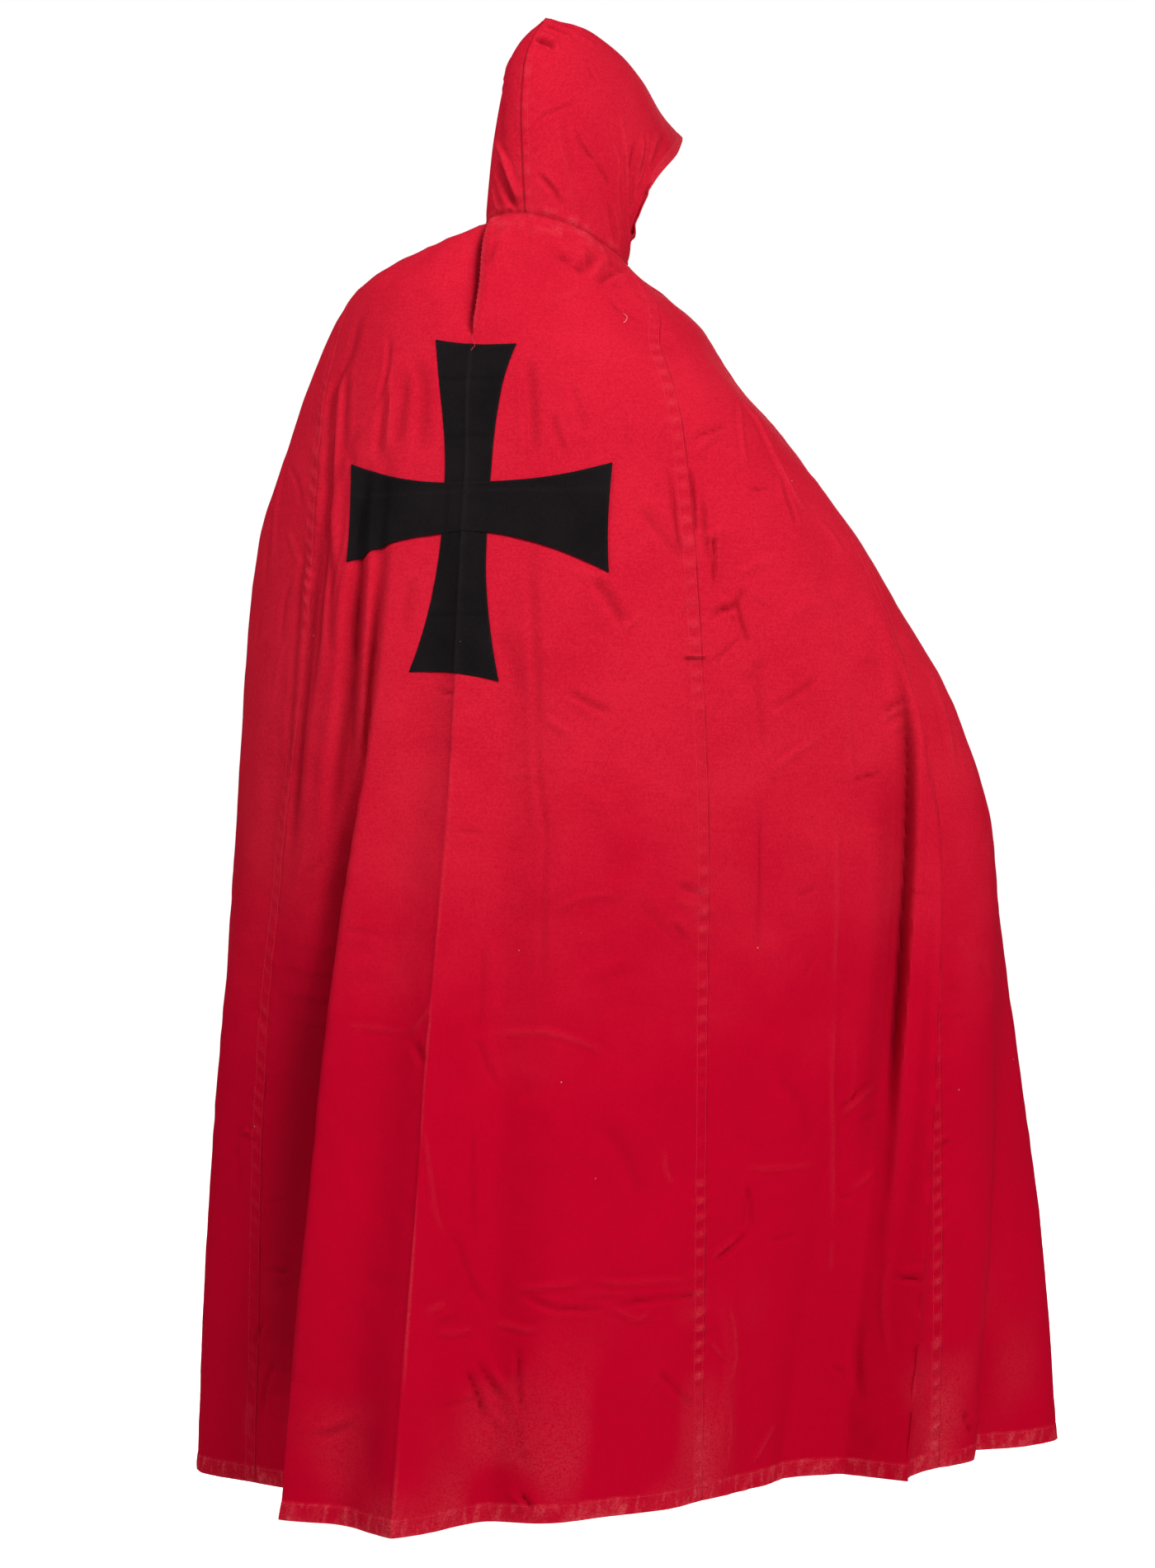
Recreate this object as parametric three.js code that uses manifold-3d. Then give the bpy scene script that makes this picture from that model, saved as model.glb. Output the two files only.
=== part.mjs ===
// Hooded cape: a floor-length cape of five panels with a two-piece hood and a sewn-on cross, in its worn form.
// Millimetres, +Z up. The origin is on the wearer's neck axis, level with the neck seam. The wearer faces -Y, so the
// cape's back is at +Y and the wearer's right is at -X. A bearing is an angle round the neck axis from the centre back,
// positive towards the wearer's right.
import * as THREE from "three";
import { mergeVertices } from "three/addons/utils/BufferGeometryUtils.js";
import Module from "manifold-3d";

// Driving dimensions.
const hemDrop = 1460; // neck seam to hem
const clothWall = 2;
const hemWall = 3; // the hem is turned up twice
const hemTurn = 20;
const seamGap = 0.3;
const columnStep = 36; // along the hem
const rowCount = 25;
const throatBearing = 161; // the hood and the fastening face this way
const crossCentreDrop = 327;
const crossBarLength = 350;
const crossHeight = 392;
const crossWaist = 58; // width of each arm where they cross
const crossBarEnd = 118;
const crossUpperEnd = 102;
const crossLowerEnd = 112;
const crossWall = 1;
const hookWire = 1.2;
const fastenerDrop = 12; // the hook and eye lie this far down the front edges

// Bearings of the directions in which each ring is measured.
const bearingOf = { left: -90, leftBack: -45, back: 0, rightBack: 60, right: 90, arm: 115, front: 180 };

// One row for each ring from the neck seam down. drop is its mean depth below the neck seam, backLift and leftLift raise
// its back and its left, and the rest are its radii.
const rings = [
  { drop: 0, backLift: 34, leftLift: 12, left: 84, leftBack: 84, back: 84, rightBack: 84, right: 84, arm: 84, front: 84 },
  { drop: 25, backLift: 12, leftLift: 26, left: 172, leftBack: 138, back: 104, rightBack: 114, right: 122, arm: 126, front: 94 },
  { drop: 72, backLift: -6, leftLift: 33, left: 256, leftBack: 200, back: 138, rightBack: 158, right: 174, arm: 180, front: 108 },
  { drop: 150, backLift: 0, leftLift: 12, left: 320, leftBack: 230, back: 166, rightBack: 198, right: 214, arm: 218, front: 132 },
  { drop: 230, backLift: 0, leftLift: 0, left: 357, leftBack: 252, back: 186, rightBack: 226, right: 264, arm: 281, front: 152 },
  { drop: 340, backLift: 0, leftLift: 0, left: 394, leftBack: 278, back: 210, rightBack: 252, right: 324, arm: 360, front: 182 },
  { drop: 450, backLift: 0, leftLift: 0, left: 406, leftBack: 300, back: 232, rightBack: 270, right: 364, arm: 428, front: 216 },
  { drop: 580, backLift: 0, leftLift: 0, left: 411, leftBack: 322, back: 256, rightBack: 284, right: 388, arm: 495, front: 256 },
  { drop: 710, backLift: 0, leftLift: 0, left: 415, leftBack: 340, back: 282, rightBack: 291, right: 392, arm: 538, front: 295 },
  { drop: 950, backLift: 0, leftLift: 0, left: 423, leftBack: 366, back: 320, rightBack: 290, right: 368, arm: 556, front: 345 },
  { drop: 1200, backLift: 0, leftLift: 0, left: 427, leftBack: 378, back: 354, rightBack: 287, right: 336, arm: 566, front: 385 },
  { drop: 1460, backLift: 0, leftLift: 0, left: 425, leftBack: 384, back: 386, rightBack: 283, right: 300, arm: 560, front: 430 },
];

// Depths below the neck seam at which a line's bearing is given.
const bearingDrops = { neck: 0, shoulder: 120, waist: 600, hem: hemDrop };

// One row for each line from the neck seam to the hem: the seams, the front edges, and the crests and valleys of the
// folds. neck, shoulder, waist and hem are bearings, reach is the distance from the neck axis at the hem, from is the
// depth at which the fold starts, and sharp is 1 for a pressed crease and 0 for a soft one.
const lines = [
  { name: "left front edge", neck: -197.5, shoulder: -188, waist: -163, hem: -146, reach: 446, from: 250, sharp: 0 },
  { name: "left front valley", neck: -182, shoulder: -172, waist: -150, hem: -138, reach: 398, from: 300, sharp: 0 },
  { name: "left front crest", neck: -164, shoulder: -156, waist: -138, hem: -129, reach: 462, from: 300, sharp: 0 },
  { name: "left front hollow", neck: -150, shoulder: -142, waist: -126, hem: -119, reach: 402, from: 420, sharp: 0 },
  { name: "left front fold", neck: -140, shoulder: -130, waist: -116, hem: -110, reach: 452, from: 420, sharp: 0 },
  { name: "left side-front seam", neck: -128, shoulder: -118, waist: -105, hem: -101, reach: 418, from: 300, sharp: 0 },
  { name: "left side hollow", neck: -120, shoulder: -106, waist: -94, hem: -90, reach: 392, from: 500, sharp: 0 },
  { name: "left side crest", neck: -114, shoulder: -96, waist: -82, hem: -79, reach: 440, from: 400, sharp: 0 },
  { name: "left side valley", neck: -108, shoulder: -84, waist: -71, hem: -68, reach: 398, from: 500, sharp: 0 },
  { name: "left outer crest", neck: -101, shoulder: -73, waist: -58, hem: -55.5, reach: 428, from: 420, sharp: 0 },
  { name: "left back seam", neck: -92, shoulder: -64, waist: -45, hem: -43.4, reach: 374, from: 300, sharp: 0 },
  { name: "behind the fold", neck: -82, shoulder: -52, waist: -34, hem: -38, reach: 356, from: 420, sharp: 0 },
  { name: "deep valley", neck: -66, shoulder: -42, waist: -27, hem: -26, reach: 318, from: 190, sharp: 0.2 },
  { name: "fold corner", neck: -48, shoulder: -31, waist: -20.5, hem: -18.8, reach: 440, from: 150, sharp: 0.5 },
  { name: "beside the crease", neck: -26, shoulder: -17, waist: -8, hem: -9, reach: 414, from: 200, sharp: 0 },
  { name: "centre back crease", neck: 0, shoulder: -6, waist: 1, hem: 1.6, reach: 438, from: 140, sharp: 0.8 },
  { name: "right of the crease", neck: 26, shoulder: 12, waist: 14, hem: 13, reach: 334, from: 300, sharp: 0 },
  { name: "low hump", neck: 44, shoulder: 26, waist: 27, hem: 24.6, reach: 334, from: 500, sharp: 0 },
  { name: "right back hollow", neck: 62, shoulder: 40, waist: 40, hem: 38, reach: 308, from: 420, sharp: 0 },
  { name: "right back swell", neck: 80, shoulder: 54, waist: 52, hem: 52, reach: 294, from: 500, sharp: 0 },
  { name: "right back seam", neck: 92, shoulder: 67, waist: 62, hem: 61.6, reach: 283, from: 300, sharp: 0 },
  { name: "right side sheet", neck: 101, shoulder: 79, waist: 72, hem: 73, reach: 284, from: 500, sharp: 0 },
  { name: "right side turn", neck: 108, shoulder: 90, waist: 84, hem: 92, reach: 292, from: 420, sharp: 0 },
  { name: "arm valley", neck: 114, shoulder: 98, waist: 96.4, hem: 99.4, reach: 352, from: 400, sharp: 0.3 },
  { name: "arm ridge", neck: 120, shoulder: 106, waist: 99, hem: 97, reach: 434, from: 400, sharp: 0 },
  { name: "right side-front seam", neck: 127, shoulder: 114, waist: 102, hem: 107.3, reach: 462, from: 400, sharp: 0 },
  { name: "right front hollow", neck: 133, shoulder: 121, waist: 112.5, hem: 118.6, reach: 502, from: 500, sharp: 0 },
  { name: "right front swell", neck: 139, shoulder: 128, waist: 120, hem: 120, reach: 566, from: 500, sharp: 0 },
  { name: "right front crest", neck: 146, shoulder: 136, waist: 127, hem: 124.4, reach: 636, from: 400, sharp: 0.2 },
  { name: "right front return", neck: 152, shoulder: 144, waist: 136, hem: 133, reach: 640, from: 300, sharp: 0 },
  { name: "right front edge", neck: 159.5, shoulder: 152, waist: 144, hem: 141, reach: 600, from: 250, sharp: 0 },
];

// The hood's seam and edge, measured forward from the neck axis the way the hood faces, to the wearer's right, and up.
const backSeam = [
  { name: "nape", forward: -79.4, right: 27.4, up: 34 },
  { name: "nape hollow", forward: -83, right: 27, up: 85 },
  { name: "back of head", forward: -85, right: 26, up: 150 },
  { name: "upper back", forward: -80, right: 26, up: 208 },
  { name: "behind the point", forward: -66, right: 26, up: 243 },
  { name: "point", forward: -41, right: 24, up: 272 },
];
const crownSeam = [
  { name: "point", forward: -41, right: 24, up: 272 },
  { name: "crown", forward: 20, right: 21, up: 270 },
  { name: "forehead", forward: 78, right: 18, up: 256 },
  { name: "over the brow", forward: 137, right: 14, up: 226 },
  { name: "above the tip", forward: 176, right: 12, up: 192 },
  { name: "brow tip", forward: 219, right: 10, up: 170 },
];
const faceEdge = [
  { name: "throat", forward: 84, right: 2.2, up: -36 },
  { name: "under the chin", forward: 71, right: 39, up: -24 },
  { name: "jaw", forward: 52, right: 67, up: 2 },
  { name: "cheek", forward: 58, right: 84, up: 42 },
  { name: "temple", forward: 72, right: 91, up: 74 },
  { name: "side of brow", forward: 98, right: 87, up: 100 },
  { name: "drape", forward: 142, right: 68, up: 127 },
  { name: "beside the tip", forward: 182, right: 40, up: 150 },
  { name: "brow tip", forward: 219, right: 10, up: 170 },
];
const crownRoundness = 0.62;
const leftCrownRoundness = 0.52;
const leftSlack = 0.88; // the left half of the hood lies closer to the head
const leftHollow = 26; // and is pressed in below its middle
const hoodColumns = 16;
const hoodRows = 18;

const redCotton = 0xd21f36;
const blackCotton = 0x1d191b;
const steelWire = 0x8f9296;

const radians = (degrees) => (degrees * Math.PI) / 180;
const mix = (a, b, t) => a + (b - a) * t;
const clamp01 = (t) => Math.min(1, Math.max(0, t));

// A smooth curve through (xs, ys) that never overshoots them. sharp, if given, is how far each point is a corner.
function curveThrough(xs, ys, sharp = []) {
  const last = xs.length - 1;
  const slopes = xs.slice(1).map((x, i) => (ys[i + 1] - ys[i]) / (x - xs[i]));
  const before = [];
  const after = [];
  for (let i = 0; i <= last; i++) {
    const left = slopes[Math.max(i - 1, 0)];
    const right = slopes[Math.min(i, last - 1)];
    const even = left * right > 0 ? (2 * left * right) / (left + right) : 0;
    before.push(mix(even, left, sharp[i] || 0));
    after.push(mix(even, right, sharp[i] || 0));
  }
  return (x) => {
    let i = 0;
    while (i < last - 1 && x > xs[i + 1]) i++;
    const width = xs[i + 1] - xs[i];
    const t = clamp01((x - xs[i]) / width);
    const t2 = t * t;
    const t3 = t2 * t;
    return (
      (2 * t3 - 3 * t2 + 1) * ys[i] +
      (t3 - 2 * t2 + t) * width * after[i] +
      (3 * t2 - 2 * t3) * ys[i + 1] +
      (t3 - t2) * width * before[i + 1]
    );
  };
}

// The cape's rings: the radius at any bearing and depth, and the height of that point.
const ringDrops = rings.map((ring) => ring.drop);
const liftAt = {
  back: curveThrough(ringDrops, rings.map((ring) => ring.backLift)),
  left: curveThrough(ringDrops, rings.map((ring) => ring.leftLift)),
};
const radiusAt = {};
for (const name of Object.keys(bearingOf)) {
  radiusAt[name] = curveThrough(ringDrops, rings.map((ring) => ring[name]));
}

const ringCache = new Map();
function ringAt(drop) {
  if (!ringCache.has(drop)) {
    const bearings = [];
    const radii = [];
    for (const turn of [-360, 0, 360]) {
      for (const [name, bearing] of Object.entries(bearingOf)) {
        bearings.push(bearing + turn);
        radii.push(radiusAt[name](drop));
      }
    }
    ringCache.set(drop, curveThrough(bearings, radii));
  }
  return ringCache.get(drop);
}

// Each line's bearing and fold depth, by depth below the neck seam.
const dropStations = Object.values(bearingDrops);
for (const line of lines) {
  line.bearingAt = curveThrough(dropStations, Object.keys(bearingDrops).map((key) => line[key]));
  line.fold = line.reach - ringAt(hemDrop)(line.hem);
}
const hemPlan = lines.map((line) => {
  return new THREE.Vector2(line.reach * -Math.sin(radians(line.hem)), line.reach * Math.cos(radians(line.hem)));
});
lines.forEach((line, i) => {
  line.at = i ? lines[i - 1].at + hemPlan[i].distanceTo(hemPlan[i - 1]) : 0;
});
const lineStarts = lines.map((line) => line.at);
const sharpness = lines.map((line) => line.sharp);

// The curves of bearing and fold depth round the cape at one depth, by distance along the hem.
const rowCache = new Map();
function rowAt(drop) {
  if (!rowCache.has(drop)) {
    const bearings = lines.map((line) => line.bearingAt(drop));
    const folds = lines.map((line) => {
      const grown = clamp01((drop - line.from) / (hemDrop - line.from));
      return line.fold * Math.pow(grown, 1.15);
    });
    rowCache.set(drop, {
      bearing: curveThrough(lineStarts, bearings, sharpness),
      fold: curveThrough(lineStarts, folds, sharpness),
    });
  }
  return rowCache.get(drop);
}

// A point of the cape's outer face, at a distance along the hem and a depth below the neck seam.
function capePoint(along, drop) {
  const row = rowAt(drop);
  const bearing = row.bearing(along);
  const radius = ringAt(drop)(bearing) + row.fold(along);
  const sine = Math.sin(radians(bearing));
  const cosine = Math.cos(radians(bearing));
  const up = -drop + liftAt.back(drop) * cosine - liftAt.left(drop) * sine;
  return new THREE.Vector3(-radius * sine, radius * cosine, up);
}

// Unit directions on the cape at a point: along the hem, down, and out of the cloth.
function capeFrame(along, drop, from = 0, to = lineStarts.at(-1)) {
  const step = 1;
  const low = Math.max(along - step, from);
  const high = Math.min(along + step, to);
  const top = Math.max(drop - step, 0);
  const bottom = Math.min(drop + step, hemDrop);
  const across = capePoint(high, drop).sub(capePoint(low, drop)).normalize();
  const down = capePoint(along, bottom).sub(capePoint(along, top)).normalize();
  const out = down.clone().cross(across).normalize();
  return { across, down, out };
}

// A closed wall between two grids of points with rows down and columns along, the outer face first.
function wallGeometry(outer, inner) {
  const rowTotal = outer.length;
  const columnTotal = outer[0].length;
  const positions = [...outer.flat(), ...inner.flat()].flatMap((p) => p.toArray());
  const outerIndex = (row, column) => row * columnTotal + column;
  const innerIndex = (row, column) => rowTotal * columnTotal + row * columnTotal + column;
  const index = [];
  for (let row = 0; row + 1 < rowTotal; row++) {
    for (let column = 0; column + 1 < columnTotal; column++) {
      const corners = [[row, column], [row + 1, column], [row + 1, column + 1], [row, column + 1]];
      const [a, b, c, d] = corners.map(([r, k]) => outerIndex(r, k));
      const [e, f, g, h] = corners.map(([r, k]) => innerIndex(r, k));
      index.push(a, b, c, a, c, d, e, g, f, e, h, g);
    }
  }
  const rim = [];
  for (let row = 0; row + 1 < rowTotal; row++) {
    rim.push([[row, 0], [row + 1, 0]], [[row + 1, columnTotal - 1], [row, columnTotal - 1]]);
  }
  for (let column = 0; column + 1 < columnTotal; column++) {
    rim.push([[rowTotal - 1, column], [rowTotal - 1, column + 1]], [[0, column + 1], [0, column]]);
  }
  for (const [from, to] of rim) {
    const [p, q] = [outerIndex(...from), outerIndex(...to)];
    const [s, t] = [innerIndex(...from), innerIndex(...to)];
    index.push(q, p, s, q, s, t);
  }
  const geometry = new THREE.BufferGeometry();
  geometry.setAttribute("position", new THREE.Float32BufferAttribute(positions, 3));
  geometry.setIndex(index);
  return geometry;
}

// Depths of the rows: close together at the shoulders, wider below, and two at the turned hem.
const rowDrops = [];
for (let i = 0; i <= rowCount; i++) {
  const t = i / rowCount;
  rowDrops.push((hemDrop - hemTurn) * (0.26 * t + 0.74 * t * t));
}
rowDrops.push(hemDrop - hemTurn + 2, hemDrop);

// The columns between two lines, with each fold line on a column of its own.
function columnsBetween(first, last) {
  const columns = [lineStarts[first]];
  for (let i = first; i < last; i++) {
    const width = lineStarts[i + 1] - lineStarts[i];
    const parts = Math.max(1, Math.round(width / columnStep));
    for (let k = 1; k <= parts; k++) {
      columns.push(lineStarts[i] + (width * k) / parts);
    }
  }
  return columns;
}

// The grid of one panel: its outer points and the outward direction at each.
function panelGrid(first, last) {
  const columns = columnsBetween(first, last);
  const from = columns[0];
  const to = columns.at(-1);
  return rowDrops.map((drop) => columns.map((along) => {
    const { across, down, out } = capeFrame(along, drop);
    const point = capePoint(along, drop);
    if (along === from) point.addScaledVector(across, seamGap / 2);
    if (along === to) point.addScaledVector(across, -seamGap / 2);
    if (drop === 0) point.addScaledVector(down, seamGap / 2);
    return { point, out, drop };
  }));
}

const movedOut = (grid, distanceOf) => grid.map((row) => row.map((cell) => {
  return cell.point.clone().addScaledVector(cell.out, distanceOf(cell));
}));
const wallAt = (cell) => (cell.drop > hemDrop - hemTurn + 1 ? hemWall : clothWall);

const lineNumber = (name) => lines.findIndex((line) => line.name === name);
const panels = [
  { name: "front_panel_left", first: 0, last: lineNumber("left side-front seam") },
  { name: "side_panel_left", first: lineNumber("left side-front seam"), last: lineNumber("left back seam") },
  { name: "back_panel", first: lineNumber("left back seam"), last: lineNumber("right back seam") },
  { name: "side_panel_right", first: lineNumber("right back seam"), last: lineNumber("right side-front seam") },
  { name: "front_panel_right", first: lineNumber("right side-front seam"), last: lines.length - 1 },
];

// Hood directions.
const hoodForward = new THREE.Vector3(-Math.sin(radians(throatBearing)), Math.cos(radians(throatBearing)), 0);
const hoodRight = new THREE.Vector3(hoodForward.y, -hoodForward.x, 0);
const hoodPlace = (forward, right, up) => {
  return new THREE.Vector3(0, 0, up).addScaledVector(hoodForward, forward).addScaledVector(hoodRight, right);
};

// A smooth curve through a table of hood points, from 0 to 1 by distance.
function hoodCurve(table) {
  const at = [0];
  for (let i = 1; i < table.length; i++) {
    const a = table[i - 1];
    const b = table[i];
    at.push(at[i - 1] + Math.hypot(b.forward - a.forward, b.right - a.right, b.up - a.up));
  }
  const scaled = at.map((x) => x / at.at(-1));
  const forward = curveThrough(scaled, table.map((row) => row.forward));
  const right = curveThrough(scaled, table.map((row) => row.right));
  const up = curveThrough(scaled, table.map((row) => row.up));
  return (t) => hoodPlace(forward(t), right(t), up(t));
}

// One half of the hood. side is 1 for the wearer's right and -1 for the left, u runs from the back seam to the face
// edge, and v from the neck seam to the crown.
function hoodSurface(side) {
  const back = hoodCurve(backSeam);
  const crown = hoodCurve(crownSeam);
  const browRight = faceEdge.at(-1).right;
  const face = hoodCurve(faceEdge.map((row, i) => {
    const t = i / (faceEdge.length - 1);
    const right = side > 0 ? row.right : -leftSlack * row.right + (1 + leftSlack) * browRight * t * t;
    return { ...row, right };
  }));
  const throat = side > 0 ? lines.at(-1).neck : lines[0].neck;
  const neck = (u) => {
    const bearing = radians(throat * u);
    return new THREE.Vector3(
      -rings[0].front * Math.sin(bearing),
      rings[0].front * Math.cos(bearing),
      rings[0].backLift * Math.cos(bearing) - rings[0].leftLift * Math.sin(bearing),
    );
  };
  // The swept arc from the neck to the crown, upright at the neck and nearly level at the crown.
  const arc = (u, v) => {
    const low = neck(u);
    const high = crown(u);
    const roundness = side > 0 ? crownRoundness : leftCrownRoundness;
    const outWeight = Math.pow(Math.cos((v * Math.PI) / 2), roundness);
    const upWeight = Math.sin((v * Math.PI) / 2);
    return new THREE.Vector3(
      mix(high.x, low.x, outWeight),
      mix(high.y, low.y, outWeight),
      mix(low.z, high.z, upWeight),
    );
  };
  return (u, v) => {
    const rise = Math.sin((v * Math.PI) / 2);
    const point = arc(u, v);
    point.addScaledVector(back(rise).sub(arc(0, v)), (1 - u) * (1 - u));
    point.addScaledVector(face(v).sub(arc(1, v)), u * u * u);
    if (side < 0) {
      const pressed = Math.sin(Math.PI * u) * Math.sin(Math.PI * v) * (1 - v);
      point.addScaledVector(hoodRight, leftHollow * pressed);
    }
    return point;
  };
}

function hoodGeometry(side) {
  const surface = hoodSurface(side);
  const step = 0.004;
  const seamNormal = (normal) => normal.addScaledVector(hoodRight, -normal.dot(hoodRight)).normalize();
  const outer = [];
  const inner = [];
  for (let i = 0; i <= hoodRows; i++) {
    const v = 1 - i / hoodRows;
    const outerRow = [];
    const innerRow = [];
    for (let k = 0; k <= hoodColumns; k++) {
      const u = side > 0 ? k / hoodColumns : 1 - k / hoodColumns;
      const point = surface(u, v);
      const across = surface(Math.min(u + step, 1), v).sub(surface(Math.max(u - step, 0), v));
      const down = surface(u, Math.max(v - step, 0)).sub(surface(u, Math.min(v + step, 1)));
      const out = down.cross(across.multiplyScalar(side)).normalize();
      const onSeam = u === 0 || v === 1;
      if (onSeam) {
        seamNormal(out);
        point.addScaledVector(hoodRight, (side * seamGap) / 2);
      }
      if (v === 0) point.z += seamGap / 2;
      outerRow.push(point);
      innerRow.push(point.clone().addScaledVector(out, -clothWall));
    }
    outer.push(outerRow);
    inner.push(innerRow);
  }
  return wallGeometry(outer, inner);
}

const cape = new THREE.Group();
function addPart(name, geometry, material) {
  geometry.computeVertexNormals();
  const mesh = new THREE.Mesh(geometry, material);
  mesh.name = name;
  cape.add(mesh);
}
const clothMaterial = (color) => new THREE.MeshStandardMaterial({ color, roughness: 0.9, metalness: 0 });

const grids = {};
for (const panel of panels) {
  grids[panel.name] = panelGrid(panel.first, panel.last);
  const outer = movedOut(grids[panel.name], () => 0);
  const inner = movedOut(grids[panel.name], (cell) => -wallAt(cell));
  addPart(panel.name, wallGeometry(outer, inner), clothMaterial(redCotton));
}
addPart("hood_right", hoodGeometry(1), clothMaterial(redCotton));
addPart("hood_left", hoodGeometry(-1), clothMaterial(redCotton));

// A point on the back's outer face, at a distance along the cloth from the centre back crease and at a depth.
const creaseAlong = lineStarts[lineNumber("centre back crease")];
function fromCrease(distance, drop) {
  const step = 4 * Math.sign(distance);
  let along = creaseAlong;
  let point = capePoint(along, drop);
  let left = Math.abs(distance);
  while (left > 0) {
    const next = capePoint(along + step, drop);
    const part = Math.min(1, left / next.distanceTo(point));
    left -= next.distanceTo(point);
    point = point.lerp(next, part);
    along += step;
  }
  return point;
}

// The cross's arms flare from the waist to their ends. An outline is a list of [distance from the crease, depth].
const flareAt = (t, endWidth) => mix(crossWaist, endWidth, t * t) / 2;
const outlineSteps = 8;
function armOutline(direction, endWidth) {
  const start = crossWaist / 2 + 1.2;
  const end = crossHeight / 2;
  const rightSide = [];
  for (let i = 0; i <= outlineSteps; i++) {
    const t = i / outlineSteps;
    rightSide.push([flareAt(t, endWidth), crossCentreDrop + direction * mix(start, end, t)]);
  }
  const leftSide = rightSide.map(([across, drop]) => [-across, drop]).reverse();
  return [...rightSide, ...leftSide];
}
function barOutline() {
  const top = [];
  for (let i = -outlineSteps; i <= outlineSteps; i++) {
    const t = i / outlineSteps;
    top.push([(t * crossBarLength) / 2, crossCentreDrop - flareAt(t, crossBarEnd)]);
  }
  const bottom = top.map(([across, drop]) => [across, 2 * crossCentreDrop - drop]).reverse();
  return [...top, ...bottom];
}

const wasm = await Module();
wasm.setup();
function solidOf(geometry) {
  for (const name of ["normal", "uv"]) geometry.deleteAttribute(name);
  const merged = mergeVertices(geometry, 1e-4);
  return new wasm.Manifold(new wasm.Mesh({
    numProp: 3,
    vertProperties: merged.attributes.position.array,
    triVerts: new Uint32Array(merged.index.array),
  }));
}
function geometryOf(solid) {
  const mesh = solid.getMesh();
  const geometry = new THREE.BufferGeometry();
  geometry.setAttribute("position", new THREE.BufferAttribute(mesh.vertProperties, 3));
  geometry.setIndex(new THREE.BufferAttribute(mesh.triVerts, 1));
  return geometry;
}

// A piece of the cross: the back panel's own facets moved out, cut to the piece's outline by a block that runs
// straight back.
const crossRows = grids.back_panel.filter((row) => row[0].drop > 90 && row[0].drop < 640);
const crossSheet = solidOf(wallGeometry(
  movedOut(crossRows, () => seamGap + crossWall),
  movedOut(crossRows, () => seamGap),
));
const cutterNear = 60;
const cutterFar = 480;
function crossPiece(outline) {
  const points = outline.map(([across, drop]) => fromCrease(across, drop));
  const shape = new THREE.Shape(points.map((p) => new THREE.Vector2(p.x, p.z)));
  const cutter = new THREE.ExtrudeGeometry(shape, { depth: cutterFar - cutterNear, bevelEnabled: false });
  cutter.rotateX(Math.PI / 2);
  cutter.translate(0, cutterFar, 0);
  return geometryOf(crossSheet.intersect(solidOf(cutter)));
}
addPart("cross_upper_arm", crossPiece(armOutline(-1, crossUpperEnd)), clothMaterial(blackCotton));
addPart("cross_bar", crossPiece(barOutline()), clothMaterial(blackCotton));
addPart("cross_lower_arm", crossPiece(armOutline(1, crossLowerEnd)), clothMaterial(blackCotton));

// The hook on the right front and the eye on the left, on the inner faces just below the throat. Each point is placed
// from an edge of the front: along the cloth, out of it and down it.
function edgePlace(along) {
  const origin = capePoint(along, fastenerDrop);
  const { across, down, out } = capeFrame(along, fastenerDrop, 0, lineStarts.at(-1));
  return (acrossBy, outBy, downBy) => {
    return origin.clone().addScaledVector(across, acrossBy).addScaledVector(out, outBy).addScaledVector(down, downBy);
  };
}
function wireGeometry(points) {
  const section = new THREE.Shape();
  section.absarc(0, 0, hookWire / 2, 0, 2 * Math.PI);
  const path = new THREE.CatmullRomCurve3(points);
  return new THREE.ExtrudeGeometry(section, { steps: 28, curveSegments: 8, extrudePath: path });
}
const wireMaterial = new THREE.MeshStandardMaterial({ color: steelWire, roughness: 0.35, metalness: 1 });
const onRight = edgePlace(lineStarts.at(-1));
const onLeft = edgePlace(0);
const wireDepth = -(clothWall + seamGap + hookWire / 2);
const hookBend = 1.6; // half the width of the hook's bend
const hookPoints = [
  onRight(-9, wireDepth - 0.4, 0),
  onRight(-3, wireDepth, 0),
  onRight(5.5, wireDepth, 0),
  onRight(5.5 + hookBend, wireDepth - hookBend, 0),
  onRight(5.5, wireDepth - 2 * hookBend, 0),
  onRight(1.5, wireDepth - 2 * hookBend, 0),
];
const eyePoints = [
  onLeft(8, wireDepth - 0.3, -2.6),
  onLeft(2, wireDepth, -2.6),
  onRight(6, wireDepth - hookBend, -1.8),
  onRight(5.5, wireDepth - hookBend, 0),
  onRight(6, wireDepth - hookBend, 1.8),
  onLeft(2, wireDepth, 2.6),
  onLeft(8, wireDepth - 0.3, 2.6),
];
addPart("neck_hook", wireGeometry(hookPoints), wireMaterial);
addPart("neck_eye", wireGeometry(eyePoints), wireMaterial.clone());

export default cape;
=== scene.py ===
# Hooded cape in red cotton with a sewn-on black cross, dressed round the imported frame.
import math

import bpy
import numpy as np
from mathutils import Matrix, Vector


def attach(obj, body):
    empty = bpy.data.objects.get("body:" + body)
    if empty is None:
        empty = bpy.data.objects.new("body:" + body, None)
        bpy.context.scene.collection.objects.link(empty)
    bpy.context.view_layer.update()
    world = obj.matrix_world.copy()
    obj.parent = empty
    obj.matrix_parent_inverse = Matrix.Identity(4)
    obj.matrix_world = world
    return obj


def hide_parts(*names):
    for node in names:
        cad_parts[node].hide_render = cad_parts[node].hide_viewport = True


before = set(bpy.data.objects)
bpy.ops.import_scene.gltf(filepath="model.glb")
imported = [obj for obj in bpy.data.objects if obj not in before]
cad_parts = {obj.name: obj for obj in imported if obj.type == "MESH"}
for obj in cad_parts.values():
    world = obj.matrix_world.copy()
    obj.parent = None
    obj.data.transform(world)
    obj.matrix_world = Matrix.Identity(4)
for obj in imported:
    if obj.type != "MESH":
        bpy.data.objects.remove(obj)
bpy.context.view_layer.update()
mm = 0.001
print("frame loaded")

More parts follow.
